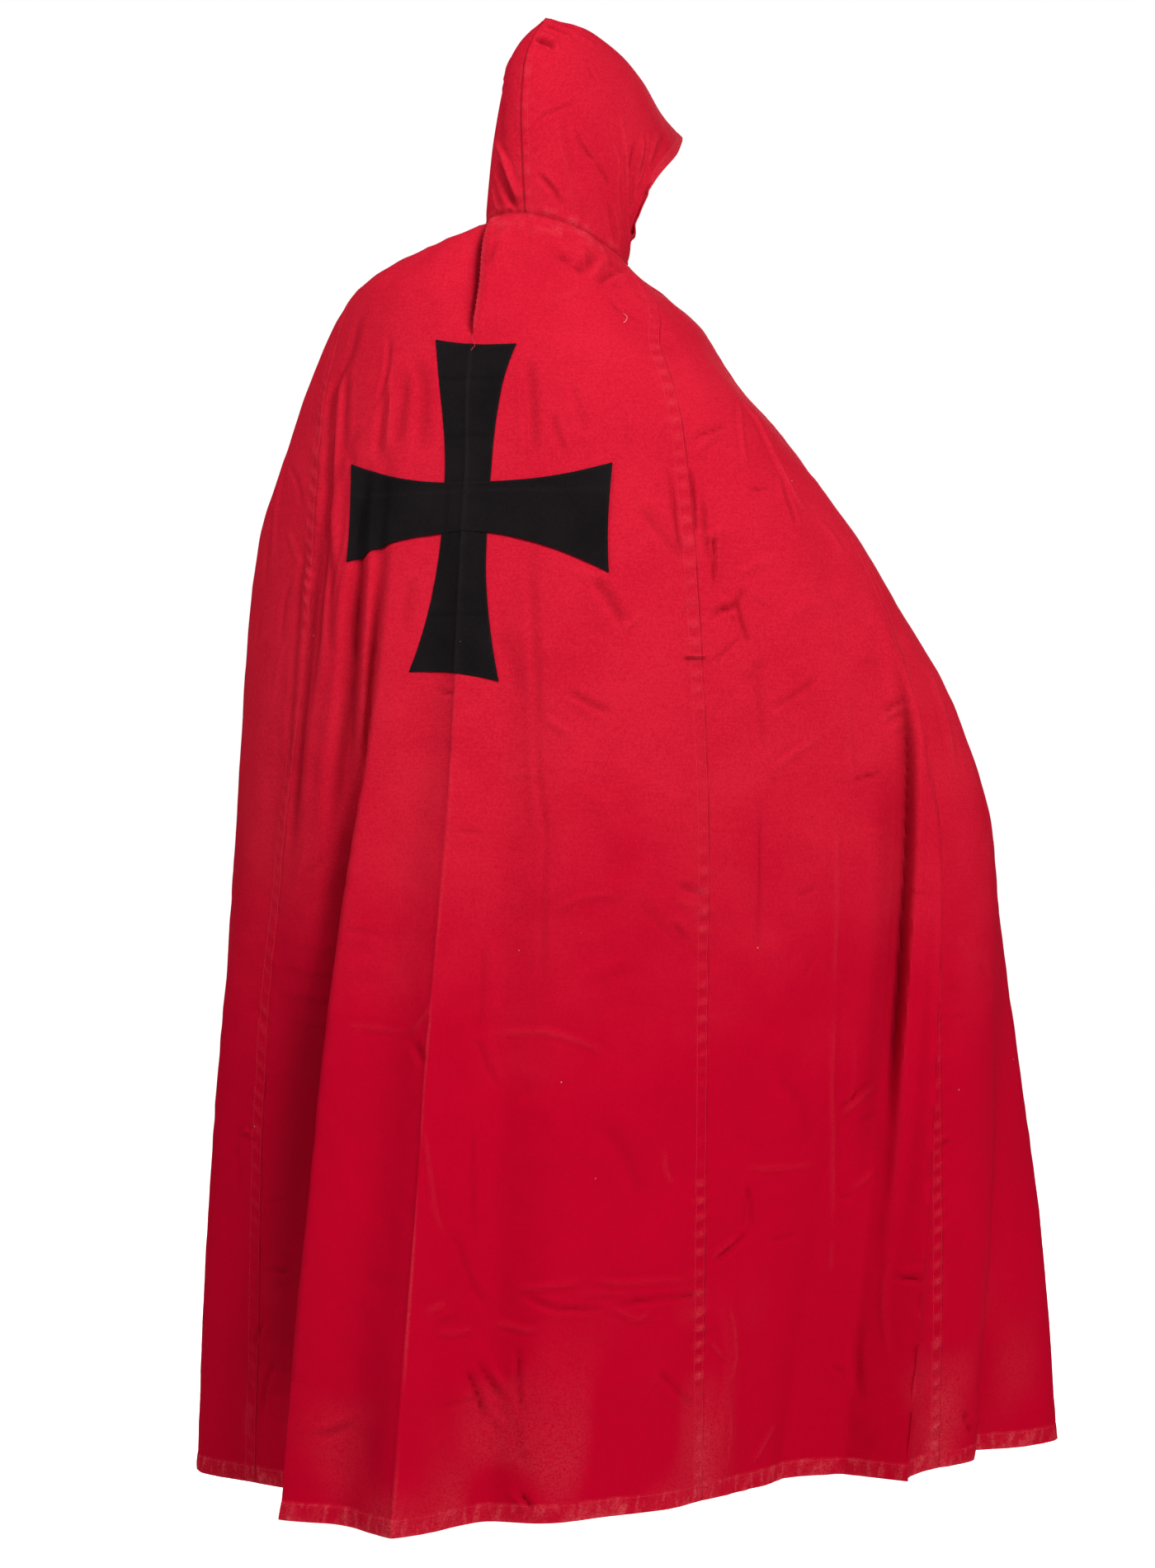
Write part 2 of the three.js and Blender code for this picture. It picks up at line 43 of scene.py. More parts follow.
# The worn form that the panels follow, in millimetres from the neck axis. Bearings are degrees from the
# centre back, positive towards the wearer's right.
form = {
    "hemDrop": 1460,
    "hemTurn": 20,
    "throatBearing": 161,
    "ringBearings": [-90, -45, 0, 60, 90, 115, 180],
    "lineDrops": [0, 120, 600, 1460],
    "foldGrowth": 1.15,
}

# drop, back lift, left lift, then the radii at the seven ring bearings
rings = [
    (0, 34, 12, 84, 84, 84, 84, 84, 84, 84),
    (25, 12, 26, 172, 138, 104, 114, 122, 126, 94),
    (72, -6, 33, 256, 200, 138, 158, 174, 180, 108),
    (150, 0, 12, 320, 230, 166, 198, 214, 218, 132),
    (230, 0, 0, 357, 252, 186, 226, 264, 281, 152),
    (340, 0, 0, 394, 278, 210, 252, 324, 360, 182),
    (450, 0, 0, 406, 300, 232, 270, 364, 428, 216),
    (580, 0, 0, 411, 322, 256, 284, 388, 495, 256),
    (710, 0, 0, 415, 340, 282, 291, 392, 538, 295),
    (950, 0, 0, 423, 366, 320, 290, 368, 556, 345),
    (1200, 0, 0, 427, 378, 354, 287, 336, 566, 385),
    (1460, 0, 0, 425, 384, 386, 283, 300, 560, 430),
]

# bearing at the neck, shoulder, waist and hem, reach at the hem, depth where the fold starts, sharpness
lines = [
    ("left front edge", -197.5, -188, -163, -146, 446, 250, 0),
    ("left front valley", -182, -172, -150, -138, 398, 300, 0),
    ("left front crest", -164, -156, -138, -129, 462, 300, 0),
    ("left front hollow", -150, -142, -126, -119, 402, 420, 0),
    ("left front fold", -140, -130, -116, -110, 452, 420, 0),
    ("left side-front seam", -128, -118, -105, -101, 418, 300, 0),
    ("left side hollow", -120, -106, -94, -90, 392, 500, 0),
    ("left side crest", -114, -96, -82, -79, 440, 400, 0),
    ("left side valley", -108, -84, -71, -68, 398, 500, 0),
    ("left outer crest", -101, -73, -58, -55.5, 428, 420, 0),
    ("left back seam", -92, -64, -45, -43.4, 374, 300, 0),
    ("behind the fold", -82, -52, -34, -38, 356, 420, 0),
    ("deep valley", -66, -42, -27, -26, 318, 190, 0.2),
    ("fold corner", -48, -31, -20.5, -18.8, 440, 150, 0.5),
    ("beside the crease", -26, -17, -8, -9, 414, 200, 0),
    ("centre back crease", 0, -6, 1, 1.6, 438, 140, 0.8),
    ("right of the crease", 26, 12, 14, 13, 334, 300, 0),
    ("low hump", 44, 26, 27, 24.6, 334, 500, 0),
    ("right back hollow", 62, 40, 40, 38, 308, 420, 0),
    ("right back swell", 80, 54, 52, 52, 294, 500, 0),
    ("right back seam", 92, 67, 62, 61.6, 283, 300, 0),
    ("right side sheet", 101, 79, 72, 73, 284, 500, 0),
    ("right side turn", 108, 90, 84, 92, 292, 420, 0),
    ("arm valley", 114, 98, 96.4, 99.4, 352, 400, 0.3),
    ("arm ridge", 120, 106, 99, 97, 434, 400, 0),
    ("right side-front seam", 127, 114, 102, 107.3, 462, 400, 0),
    ("right front hollow", 133, 121, 112.5, 118.6, 502, 500, 0),
    ("right front swell", 139, 128, 120, 120, 566, 500, 0),
    ("right front crest", 146, 136, 127, 124.4, 636, 400, 0.2),
    ("right front return", 152, 144, 136, 133, 640, 300, 0),
    ("right front edge", 159.5, 152, 144, 141, 600, 250, 0),
]

# the hood's seam and edge: forward, right and up in the way the hood faces
backSeam = [
    (-79.4, 27.4, 34), (-83, 27, 85), (-85, 26, 150), (-80, 26, 208), (-66, 26, 243), (-41, 24, 272),
]
crownSeam = [
    (-41, 24, 272), (20, 21, 270), (78, 18, 256), (137, 14, 226), (176, 12, 192), (219, 10, 170),
]
faceEdge = [
    (84, 2.2, -36), (71, 39, -24), (52, 67, 2), (58, 84, 42), (72, 91, 74),
    (98, 87, 100), (142, 68, 127), (182, 40, 150), (219, 10, 170),
]
hoodForm = {"crownRoundness": 0.62, "leftCrownRoundness": 0.52, "leftSlack": 0.88, "leftHollow": 26}


def curveThrough(xs, ys, sharp=None):
    # a smooth curve that never overshoots its points
    xs = np.asarray(xs, float)
    ys = np.asarray(ys, float)
    corner = np.zeros(len(xs)) if sharp is None else np.asarray(sharp, float)
    slopes = np.diff(ys) / np.diff(xs)
    left = np.concatenate([slopes[:1], slopes])
    right = np.concatenate([slopes, slopes[-1:]])
    product = left * right
    total = np.where(product > 0, left + right, 1.0)
    even = np.where(product > 0, 2 * product / total, 0.0)
    before = even + (left - even) * corner
    after = even + (right - even) * corner

    def curve(x):
        x = np.asarray(x, float)
        i = np.clip(np.searchsorted(xs, x, side="left") - 1, 0, len(xs) - 2)
        width = xs[i + 1] - xs[i]
        t = np.clip((x - xs[i]) / width, 0, 1)
        t2 = t * t
        t3 = t2 * t
        start = (2 * t3 - 3 * t2 + 1) * ys[i] + (t3 - 2 * t2 + t) * width * after[i]
        end = (3 * t2 - 2 * t3) * ys[i + 1] + (t3 - t2) * width * before[i + 1]
        return start + end

    return curve


ringTable = np.array(rings, float)
liftBack = curveThrough(ringTable[:, 0], ringTable[:, 1])
liftLeft = curveThrough(ringTable[:, 0], ringTable[:, 2])
radiusCurves = [curveThrough(ringTable[:, 0], ringTable[:, 3 + k]) for k in range(7)]
lineTable = np.array([row[1:] for row in lines], float)
lineNames = [row[0] for row in lines]
bearingCurves = [curveThrough(form["lineDrops"], row[:4]) for row in lineTable]


def ringAt(drop):
    radii = [float(curve(drop)) for curve in radiusCurves]
    bearings = [b + turn for turn in (-360, 0, 360) for b in form["ringBearings"]]
    return curveThrough(bearings, radii * 3)


hemRing = ringAt(form["hemDrop"])
lineFold = lineTable[:, 4] - hemRing(lineTable[:, 3])
hemAngle = np.radians(lineTable[:, 3])
hemPlan = np.stack([-np.sin(hemAngle), np.cos(hemAngle)], axis=1) * lineTable[:, 4:5]
hemSteps = np.linalg.norm(np.diff(hemPlan, axis=0), axis=1)
lineStarts = np.concatenate([[0], np.cumsum(hemSteps)])
lineSharp = lineTable[:, 6]


def capeRow(drop, along):
    # points of the outer face at one depth, at distances along the hem
    bearings = [float(curve(drop)) for curve in bearingCurves]
    grown = np.clip((drop - lineTable[:, 5]) / (form["hemDrop"] - lineTable[:, 5]), 0, 1)
    folds = lineFold * grown ** form["foldGrowth"]
    bearing = curveThrough(lineStarts, bearings, lineSharp)(along)
    radius = ringAt(drop)(bearing) + curveThrough(lineStarts, folds, lineSharp)(along)
    turn = np.radians(bearing)
    up = -drop + liftBack(drop) * np.cos(turn) - liftLeft(drop) * np.sin(turn)
    return np.stack([-radius * np.sin(turn), radius * np.cos(turn), up], axis=-1)


def unit(vectors):
    return vectors / np.maximum(np.linalg.norm(vectors, axis=-1, keepdims=True), 1e-9)


def capeNormals(drop, along):
    step = 1.0
    low = np.maximum(along - step, 0)
    high = np.minimum(along + step, lineStarts[-1])
    top = max(drop - step, 0)
    bottom = min(drop + step, form["hemDrop"])
    across = capeRow(drop, high) - capeRow(drop, low)
    down = capeRow(bottom, along) - capeRow(top, along)
    return unit(np.cross(down, across))


throat = math.radians(form["throatBearing"])
hoodForward = np.array([-math.sin(throat), math.cos(throat), 0])
hoodRight = np.array([hoodForward[1], -hoodForward[0], 0])


def hoodCurve(table):
    table = np.array(table, float)
    steps = np.linalg.norm(np.diff(table, axis=0), axis=1)
    at = np.concatenate([[0], np.cumsum(steps)]) / steps.sum()
    curves = [curveThrough(at, table[:, k]) for k in range(3)]

    def place(t):
        forward, right, up = [curve(t) for curve in curves]
        flat = forward[..., None] * hoodForward + right[..., None] * hoodRight
        return flat + up[..., None] * np.array([0, 0, 1.0])

    return place


def hoodSurface(side):
    # side is 1 for the wearer's right; u runs from back seam to face edge, v from neck to crown
    back = hoodCurve(backSeam)
    crown = hoodCurve(crownSeam)
    browRight = faceEdge[-1][1]
    slack = hoodForm["leftSlack"]
    edge = []
    for i, (forward, right, up) in enumerate(faceEdge):
        t = i / (len(faceEdge) - 1)
        edge.append((forward, right if side > 0 else -slack * right + (1 + slack) * browRight * t * t, up))
    face = hoodCurve(edge)
    edgeBearing = lineTable[-1, 0] if side > 0 else lineTable[0, 0]

    def neck(u):
        turn = np.radians(edgeBearing * u)
        radius = rings[0][3]
        up = rings[0][1] * np.cos(turn) - rings[0][2] * np.sin(turn)
        return np.stack([-radius * np.sin(turn), radius * np.cos(turn), up], axis=-1)

    def arc(u, v):
        low = neck(u)
        high = crown(u)
        roundness = hoodForm["crownRoundness"] if side > 0 else hoodForm["leftCrownRoundness"]
        outWeight = (np.maximum(np.cos(v * math.pi / 2), 0) ** roundness)[..., None]
        upWeight = np.sin(v * math.pi / 2)
        flat = high + (low - high) * outWeight
        flat[..., 2] = low[..., 2] + (high[..., 2] - low[..., 2]) * upWeight
        return flat

    def surface(u, v):
        rise = np.sin(v * math.pi / 2)
        zero = np.zeros_like(u)
        point = arc(u, v)
        point = point + (back(rise) - arc(zero, v)) * ((1 - u) ** 2)[..., None]
        point = point + (face(v) - arc(zero + 1, v)) * (u ** 3)[..., None]
        if side < 0:
            pressed = np.sin(math.pi * u) * np.sin(math.pi * v) * (1 - v)
            point = point + hoodForm["leftHollow"] * pressed[..., None] * hoodRight
        return point

    return surface


# Heights are millimetres along the cloth's outward normal, lengths are real millimetres on the cloth.
cloth = {
    "wall": 1.5,
    "insideShare": 0.72,  # the share of its triangles that the unseen inside keeps
    "smoothAngle": 50,
    "seed": 41,
    "unevenness": [  # size, height, stretch
        (170, 1.4, 1.9),
        (64, 0.8, 2.4),
        (30, 0.3, 1.6),
        (88, 2.8, 6),
        (38, 1.3, 9),
        (19, 0.55, 1),
    ],
    "unevenFrom": (2, 34),  # depths between which the unevenness sets in
    "edgeTurn": 9,
    "edgeRise": 0.5,
    "edgeDitch": 0.4,
    "edgeWear": 0.15,
}


def swell(points, size, seed, stretch=1.0):
    # smooth random heights from -1 to 1 through space
    cells = 32
    table = np.random.default_rng(seed).uniform(-1, 1, (cells, cells, cells))
    scaled = points / (np.array([size, size, size * stretch]))
    cell = np.floor(scaled).astype(int)
    t = scaled - cell
    t = t * t * (3 - 2 * t)
    total = np.zeros(points.shape[:-1])
    for dx in (0, 1):
        for dy in (0, 1):
            for dz in (0, 1):
                wx = t[..., 0] if dx else 1 - t[..., 0]
                wy = t[..., 1] if dy else 1 - t[..., 1]
                wz = t[..., 2] if dz else 1 - t[..., 2]
                x, y, z = [(cell[..., axis] + step) % cells for axis, step in enumerate((dx, dy, dz))]
                total += wx * wy * wz * table[x, y, z]
    return total


def bump(distance, width):
    return np.exp(-(distance / width) ** 2)


def smooth(x, low, high):
    t = np.clip((x - low) / (high - low), 0, 1)
    return t * t * (3 - 2 * t)


def wearPale(sheet, amount):
    sheet["fade"] = np.maximum(sheet["fade"], amount)


# painted shade: raises the dark attribute, which darkens the cloth's colour where shade falls
def shadeDark(sheet, amount):
    sheet["dark"] = np.maximum(sheet["dark"], amount)


def smoothPath(points, spacing):
    # a rounded path through a few points, sampled evenly
    points = np.asarray(points, float)
    if len(points) == 2:
        points = np.stack([points[0], points.mean(axis=0), points[1]])
    steps = np.linalg.norm(np.diff(points, axis=0), axis=1)
    at = np.concatenate([[0], np.cumsum(np.maximum(steps, 1e-6))])
    count = max(int(at[-1] / spacing), 6)
    t = np.linspace(0, at[-1], count)
    return np.stack([curveThrough(at, points[:, k])(t) for k in range(3)], axis=1)


# how one crease is pressed into the cloth, and how much painted shade a trough gets; lengths are shares of
# its half width
pressing = {
    "reach": 4,
    "besideShare": 0.3,  # the cloth beside it moves the other way
    "besideAt": 2.1,
    "endShare": 0.25,  # each end runs out over this share of its length
    "endPower": 1.5,
    "narrowBelow": 3.6,
    "narrowGain": 1.35,
    "shade": 0.34,
    "shadeWidth": 0.7,
    "fullShadeHeight": 4,
    "moreShadeHeight": 18,
    "wear": 0.20,
    "wearWidth": 3,
}


def pressCrease(sheet, path, wide, high, fade):
    # high is positive for a ridge and negative for a trough, fade wears its crest pale, and a trough's
    # colour also gets painted shade
    line = smoothPath(path, max(wide / 2, 2))
    reach = wide * pressing["reach"]
    points = sheet["base"]
    near = np.all((points > line.min(axis=0) - reach) & (points < line.max(axis=0) + reach), axis=-1)
    if not near.any():
        return
    picked = points[near]
    best = np.full(len(picked), 1e9)
    where = np.zeros(len(picked), int)
    for i, sample in enumerate(line):
        distance = np.linalg.norm(picked - sample, axis=1)
        closer = distance < best
        best[closer] = distance[closer]
        where[closer] = i
    ahead = line[np.minimum(where + 1, len(line) - 1)]
    behind = line[np.maximum(where - 1, 0)]
    tangent = unit(ahead - behind)
    offset = picked - line[where]
    along = np.sum(offset * tangent, axis=1)
    distance = np.linalg.norm(offset - along[:, None] * tangent, axis=1)
    beyond = np.where((where == 0) | (where == len(line) - 1), np.abs(along), 0)
    t = where / (len(line) - 1)
    ends = np.clip(np.minimum(t, 1 - t) / pressing["endShare"], 0, 1)
    ends = np.sin(ends * math.pi / 2) ** pressing["endPower"] * bump(beyond, wide)
    beside = bump(distance - pressing["besideAt"] * wide, wide)
    if wide < pressing["narrowBelow"]:
        high = high * pressing["narrowGain"]
    sheet["relief"][near] += high * ends * (bump(distance, wide) - pressing["besideShare"] * beside)
    # painted shade: a trough is coloured darker, more so the deeper it is
    if high < 0:
        depth = min(-high / pressing["fullShadeHeight"], 1 - high / pressing["moreShadeHeight"])
        shaded = pressing["shade"] * depth * ends * bump(distance, pressing["shadeWidth"] * wide)
        sheet["dark"][near] = np.maximum(sheet["dark"][near], shaded)
    if fade:
        worn = pressing["wear"] * fade * ends * bump(distance, pressing["wearWidth"])
        sheet["fade"][near] = np.maximum(sheet["fade"][near], worn)


def onCape(pairs):
    # cloth places (along the hem, depth) as points of the form
    return np.array([capeRow(drop, np.array([float(along)]))[0] for along, drop in pairs])


# where the rows and columns of the panels lie, in millimetres down and across the cloth
mesh = {
    "neckRows": [0, 1.2, 2.6, 4.4, 6.6, 9.2, 12.2, 15.6, 19.4],
    "bodyRows": (23.6, form["hemDrop"] - 28, 3.9),  # first, end and step
    "hemRows": (form["hemDrop"] - 26.4, form["hemDrop"] - 1, 2.2),
    "besideSeam": [0, 0.9, 1.9, 3.1, 4.7, 6.8, 9.2, 11.8, 14.4, 16.2, 17.6, 19, 21.4, 25],
    "besideSeamShare": 0.3,  # of the panel's width at most
    "besideTuck": [0.5, 1.3, 2.3, 3.6, 5.2, 7.2, 9.6, 12.4, 15.8, 20, 25, 30],
    "leftOfTuck": 0.3,  # the share of the back's columns that stand left of the tuck
    "trackPoints": 1200,
}


def offsetsFrom(width):
    # columns stand close together beside a seam
    steps = np.array(mesh["besideSeam"])
    return steps * min(1.0, mesh["besideSeamShare"] * width / steps[-1])


bodyRows = np.arange(*mesh["bodyRows"])
hemRows = np.arange(*mesh["hemRows"])
rowDrops = np.concatenate([mesh["neckRows"], bodyRows, hemRows, [form["hemDrop"]]])

# where the tuck and then the pressed crease run down the back
tuck = {
    "along": ([0, 20, 41, 67, 104, 131, 157, 300, 409, 561, 691, 965, 1135, 1460],
              [1190, 1219, 1236, 1251, 1259, 1262, 1264, 1292, 1288, 1286, 1298, 1292, 1295, 1294]),
    "end": 118,
    "endBefore": 18,
    "endAfter": 16,
    "atNeck": 0.35,  # the share of its height at the neck, reached in full below neckDrop
    "neckDrop": 22,
    "over": 4.6,
    "overRun": 22,
    "under": 8.0,
    "underRun": 15,
    "lapFront": 3.45,
    "lapBack": 1.84,
    "secondDepth": 0.8,
    "secondAt": 9,
    "secondSlant": 0.03,
    "secondWidth": 2.6,
    "rumple": 0.9,
    "lineShade": 0.9,
    "sideShade": 0.62,
    "sideLift": 0.6,
    "paintedLapHighlight": 0.16,
}
pressedCrease = {
    "from": 10,  # below the tuck's end
    "full": 70,
    "ridge": 1.0,
    "ridgeWidth": 2.8,
    "shoulder": 0.5,
    "shoulderWidth": 8,
    "wear": 0.05,
    "lowWear": 0.15,
    "lowFrom": 560,
    "lowFull": 1300,
    "wearWidth": 1.7,
    "shade": 0.05,
}


def tuckAlong(drop):
    return float(curveThrough(*tuck["along"])(drop))


def blankSheet(base, normal):
    flat = {key: np.zeros(base.shape[:2]) for key in ("relief", "fade", "dark")}
    return {"base": base, "normal": normal, **flat}


def evenPlaces(start, room, count):
    return start + room * np.arange(1, count + 1) / (count + 1)


def panelSheet(first, last, columns, lean, middle):
    # lean over 1 sets the columns closer together beside the first seam
    start = lineStarts[lineNames.index(first)]
    end = lineStarts[lineNames.index(last)]
    fine = np.linspace(start, end, mesh["trackPoints"])
    grids = {"base": [], "normal": [], "fromLeft": [], "fromRight": [], "along": [], "fromTuck": []}
    for drop in rowDrops:
        track = capeRow(drop, fine)
        arc = np.concatenate([[0], np.cumsum(np.linalg.norm(np.diff(track, axis=0), axis=1))])
        width = arc[-1]
        offsets = offsetsFrom(width)
        if middle:
            centre = np.interp(tuckAlong(drop), fine, arc)
            half = np.array(mesh["besideTuck"])
            band = np.concatenate([-half[::-1], [0], half])
            rest = columns - 2 * len(offsets) - len(band)
            leftRoom = centre - half[-1] - offsets[-1]
            rightRoom = width - centre - half[-1] - offsets[-1]
            leftCount = int(columns * mesh["leftOfTuck"])
            leftPart = evenPlaces(offsets[-1], leftRoom, leftCount)
            rightPart = evenPlaces(centre + half[-1], rightRoom, rest - leftCount)
            places = np.concatenate([offsets, leftPart, centre + band, rightPart, width - offsets[::-1]])
        else:
            centre = 0
            rest = columns - 2 * len(offsets)
            room = width - 2 * offsets[-1]
            part = offsets[-1] + room * (np.arange(1, rest + 1) / (rest + 1)) ** lean
            places = np.concatenate([offsets, part, width - offsets[::-1]])
        along = np.interp(places, arc, fine)
        grids["base"].append(capeRow(drop, along))
        grids["normal"].append(capeNormals(drop, along))
        grids["fromLeft"].append(places)
        grids["fromRight"].append(width - places)
        grids["along"].append(along)
        grids["fromTuck"].append(places - centre)
    grids = {key: np.array(rows) for key, rows in grids.items()}
    sheet = {**grids, **blankSheet(grids["base"], grids["normal"])}
    sheet["drop"] = np.repeat(rowDrops[:, None], sheet["along"].shape[1], axis=1)
    steps = np.linalg.norm(np.diff(sheet["base"], axis=0), axis=-1)
    sheet["run"] = np.concatenate([np.zeros((1, steps.shape[1])), np.cumsum(steps, axis=0)])
    # the real width where each row lies, carried sideways from the middle, for the weave
    sheet["u"] = sheet["fromLeft"] - sheet["fromLeft"].mean(axis=1, keepdims=True)
    sheet["v"] = sheet["drop"]
    return sheet


# a felled seam: how the folded band lies, how its sewing draws it up, how it has worn, and the painted
# shade in its ditch and pucker hollows
felling = {
    "width": 17,
    "rise": 0.45,
    "nearEdge": (-0.2, 1.6),
    "farEdge": (-1, 1.8),  # from the band's width
    "ditch": (0.5, 1.3),  # depth and half width
    "farDitch": (0.3, 1.5),
    "slack": 0.35,
    "slackChange": 0.25,
    "slackSize": 130,
    "tightEnds": 30,
    "ladder": (0.7, 2.5),  # stretches the random change across the seam and down it
    "drift": 5,
    "driftSize": 190,
    "pitch": 21,
    "pucker": 0.8,
    "puckerLeast": 0.7,
    "puckerChange": 0.5,
    "changeSize": 60,
    "broad": 0.9,
    "broadSize": 70,
    "crestWear": 0.34,
    "crestFrom": 0.6,
    "hemward": (1180, 1400),
    "wearAbove": 0.35,
    "wearBelow": 0.5,
    "patchWear": 0.20,
    "patchSize": 34,
    "patchWidth": 40,
    "ditchShade": 0.30,
    "ditchShadeChange": 0.26,
    "hollowShade": 0.10,
}


def felledSeam(sheet, distance, plan):
    # distance is signed from the seam line, positive over the band of folded allowance
    width = felling["width"]
    drop = sheet["drop"]
    seed = plan["seed"]
    farEdge = [width + beyond for beyond in felling["farEdge"]]
    lap = smooth(distance, *felling["nearEdge"]) * (1 - smooth(distance, *farEdge))
    tight = felling["slack"] + felling["slackChange"] * swell(sheet["base"], felling["slackSize"], seed + 3)
    ends = felling["tightEnds"]
    for first, last, strength in plan["tight"]:
        sets = smooth(drop, first - ends, first + ends)
        tight += strength * sets * (1 - smooth(drop, last - ends, last + ends))
    across, down = felling["ladder"]
    ladder = np.stack([distance * across, sheet["run"] * down, 0 * drop], axis=-1)
    drift = felling["drift"] * swell(ladder, felling["driftSize"], seed)
    change = swell(ladder, felling["changeSize"], seed + 2)
    puckers = np.sin(sheet["run"] * 2 * math.pi / felling["pitch"] + drift)
    puckers = puckers * (felling["puckerLeast"] + felling["puckerChange"] * change)
    broad = swell(ladder, felling["broadSize"], seed + 1)
    depth, halfWidth = felling["ditch"]
    farDepth, farHalfWidth = felling["farDitch"]
    sheet["relief"] += felling["rise"] * lap - depth * bump(distance, halfWidth)
    sheet["relief"] -= farDepth * bump(distance - width + 1, farHalfWidth)
    sheet["relief"] += felling["pucker"] * tight * puckers * bump(distance - width * 0.45, width * 0.8)
    sheet["relief"] += felling["broad"] * tight * broad * bump(distance - width * 0.4, width * 2.2)
    crests = smooth(puckers, 0.0, felling["crestFrom"])
    hollows = smooth(-puckers, 0.0, felling["crestFrom"])
    worn = felling["crestWear"] * crests * bump(distance - width * 0.5, width * 0.42) * tight
    low = smooth(drop, *felling["hemward"])
    patch = smooth(swell(sheet["base"], felling["patchSize"], seed + 7, stretch=2.4), 0.0, 0.5)
    worn = worn * (felling["wearAbove"] + felling["wearBelow"] * low)
    worn += felling["patchWear"] * low * patch * bump(distance - width * 0.5, felling["patchWidth"])
    wearPale(sheet, worn)
    # painted shade in the seam's ditch and in the hollows between its puckers
    change = swell(ladder, felling["changeSize"], seed + 5)
    ditch = felling["ditchShade"] + felling["ditchShadeChange"] * change
    shadeDark(sheet, ditch * bump(distance - 0.2, 1.0))
    shadeDark(sheet, felling["hollowShade"] * hollows * bump(distance - width * 0.5, width * 0.5) * tight)


# the turned hem: a raised band, ruffled by its sewing, rubbed along the fold and dusty above it
hem = {
    "rise": 0.6,
    "ditch": 0.5,
    "slant": 0.5,
    "ruffle": 0.9,
    "ruffleSize": 10,
    "wave": 0.9,
    "waveSize": 46,
    "waveReach": 55,
    "ruffleWear": 0.22,
    "bandWear": 0.08,
    "foldWear": 0.2,
    "hazeWear": 0.13,
    "hazeSize": 75,
    "hazeReach": 150,
}


def turnedHem(sheet):
    up = form["hemDrop"] - sheet["drop"]
    turn = form["hemTurn"]
    band = 1 - smooth(up, turn - 1.5, turn + 2)
    slanted = sheet["base"] + np.stack([up * hem["slant"], up * hem["slant"], up * 0], axis=-1)
    ruffle = swell(slanted, hem["ruffleSize"], 77, stretch=2.6)
    sheet["relief"] += hem["rise"] * band - hem["ditch"] * bump(up - turn + 1, 1.8)
    sheet["relief"] += hem["ruffle"] * ruffle * band
    sheet["relief"] += hem["wave"] * swell(sheet["base"], hem["waveSize"], 78) * bump(up, hem["waveReach"])
    rubbed = smooth(swell(sheet["base"], 20, 79), -0.3, 0.6)
    worn = (hem["ruffleWear"] * smooth(ruffle, 0.0, 0.5) + hem["bandWear"]) * band * (0.4 + 0.6 * rubbed)
    wearPale(sheet, worn + hem["foldWear"] * rubbed * bump(up, 2.5))
    haze = smooth(swell(sheet["base"], hem["hazeSize"], 80, stretch=1.5), 0.05, 0.6)
    wearPale(sheet, hem["hazeWear"] * haze * bump(up, hem["hazeReach"]))


# the cape's neck edge, drawn up where the hood is sewn on, with painted shade along its seam line and in a
# patchy band below the hood
neckEdge = {
    "pucker": 1.3,
    "puckerSize": 9,
    "puckerSeed": 51,
    "puckerReach": 12,
    "gather": 2.2,
    "gatherSize": 20,
    "gatherDrop": 26,
    "gatherReach": 24,
    "ditch": 0.6,
    "roll": 0.5,
    "wear": 0.2,
    "lineShade": 0.55,
    "paintedShadeUnderHood": 0.13,
    "paintedShadeUnderHoodDrop": 22,
}


def neckPuckers(sheet):
    drop = sheet["drop"]
    pucker = swell(sheet["base"], neckEdge["puckerSize"], neckEdge["puckerSeed"])
    gather = swell(sheet["base"], neckEdge["gatherSize"], 52, stretch=2.6)
    gather = gather * bump(drop - neckEdge["gatherDrop"], neckEdge["gatherReach"])
    sheet["relief"] += neckEdge["pucker"] * pucker * bump(drop, neckEdge["puckerReach"])
    sheet["relief"] += neckEdge["gather"] * gather
    sheet["relief"] += -neckEdge["ditch"] * bump(drop, 2.2) + neckEdge["roll"] * bump(drop - 6, 3)
    wearPale(sheet, neckEdge["wear"] * smooth(pucker, -0.1, 0.6) * bump(drop - 5, 6))
    # painted shade along the neck seam and, a little lower, below the hood
    shadeDark(sheet, neckEdge["lineShade"] * bump(drop, 1.6))
    underHoodShadeMask = smooth(swell(sheet["base"], 60, 53), -0.4, 0.4)
    shadeDark(sheet, neckEdge["paintedShadeUnderHood"] * bump(drop - neckEdge["paintedShadeUnderHoodDrop"], 24) * underHoodShadeMask)


def clothRelief(sheet):
    free = smooth(sheet["drop"], *cloth["unevenFrom"])
    for i, (size, height, stretch) in enumerate(cloth["unevenness"]):
        sheet["relief"] += height * free * swell(sheet["base"], size, cloth["seed"] + i, stretch=stretch)
    turnedHem(sheet)
    neckPuckers(sheet)


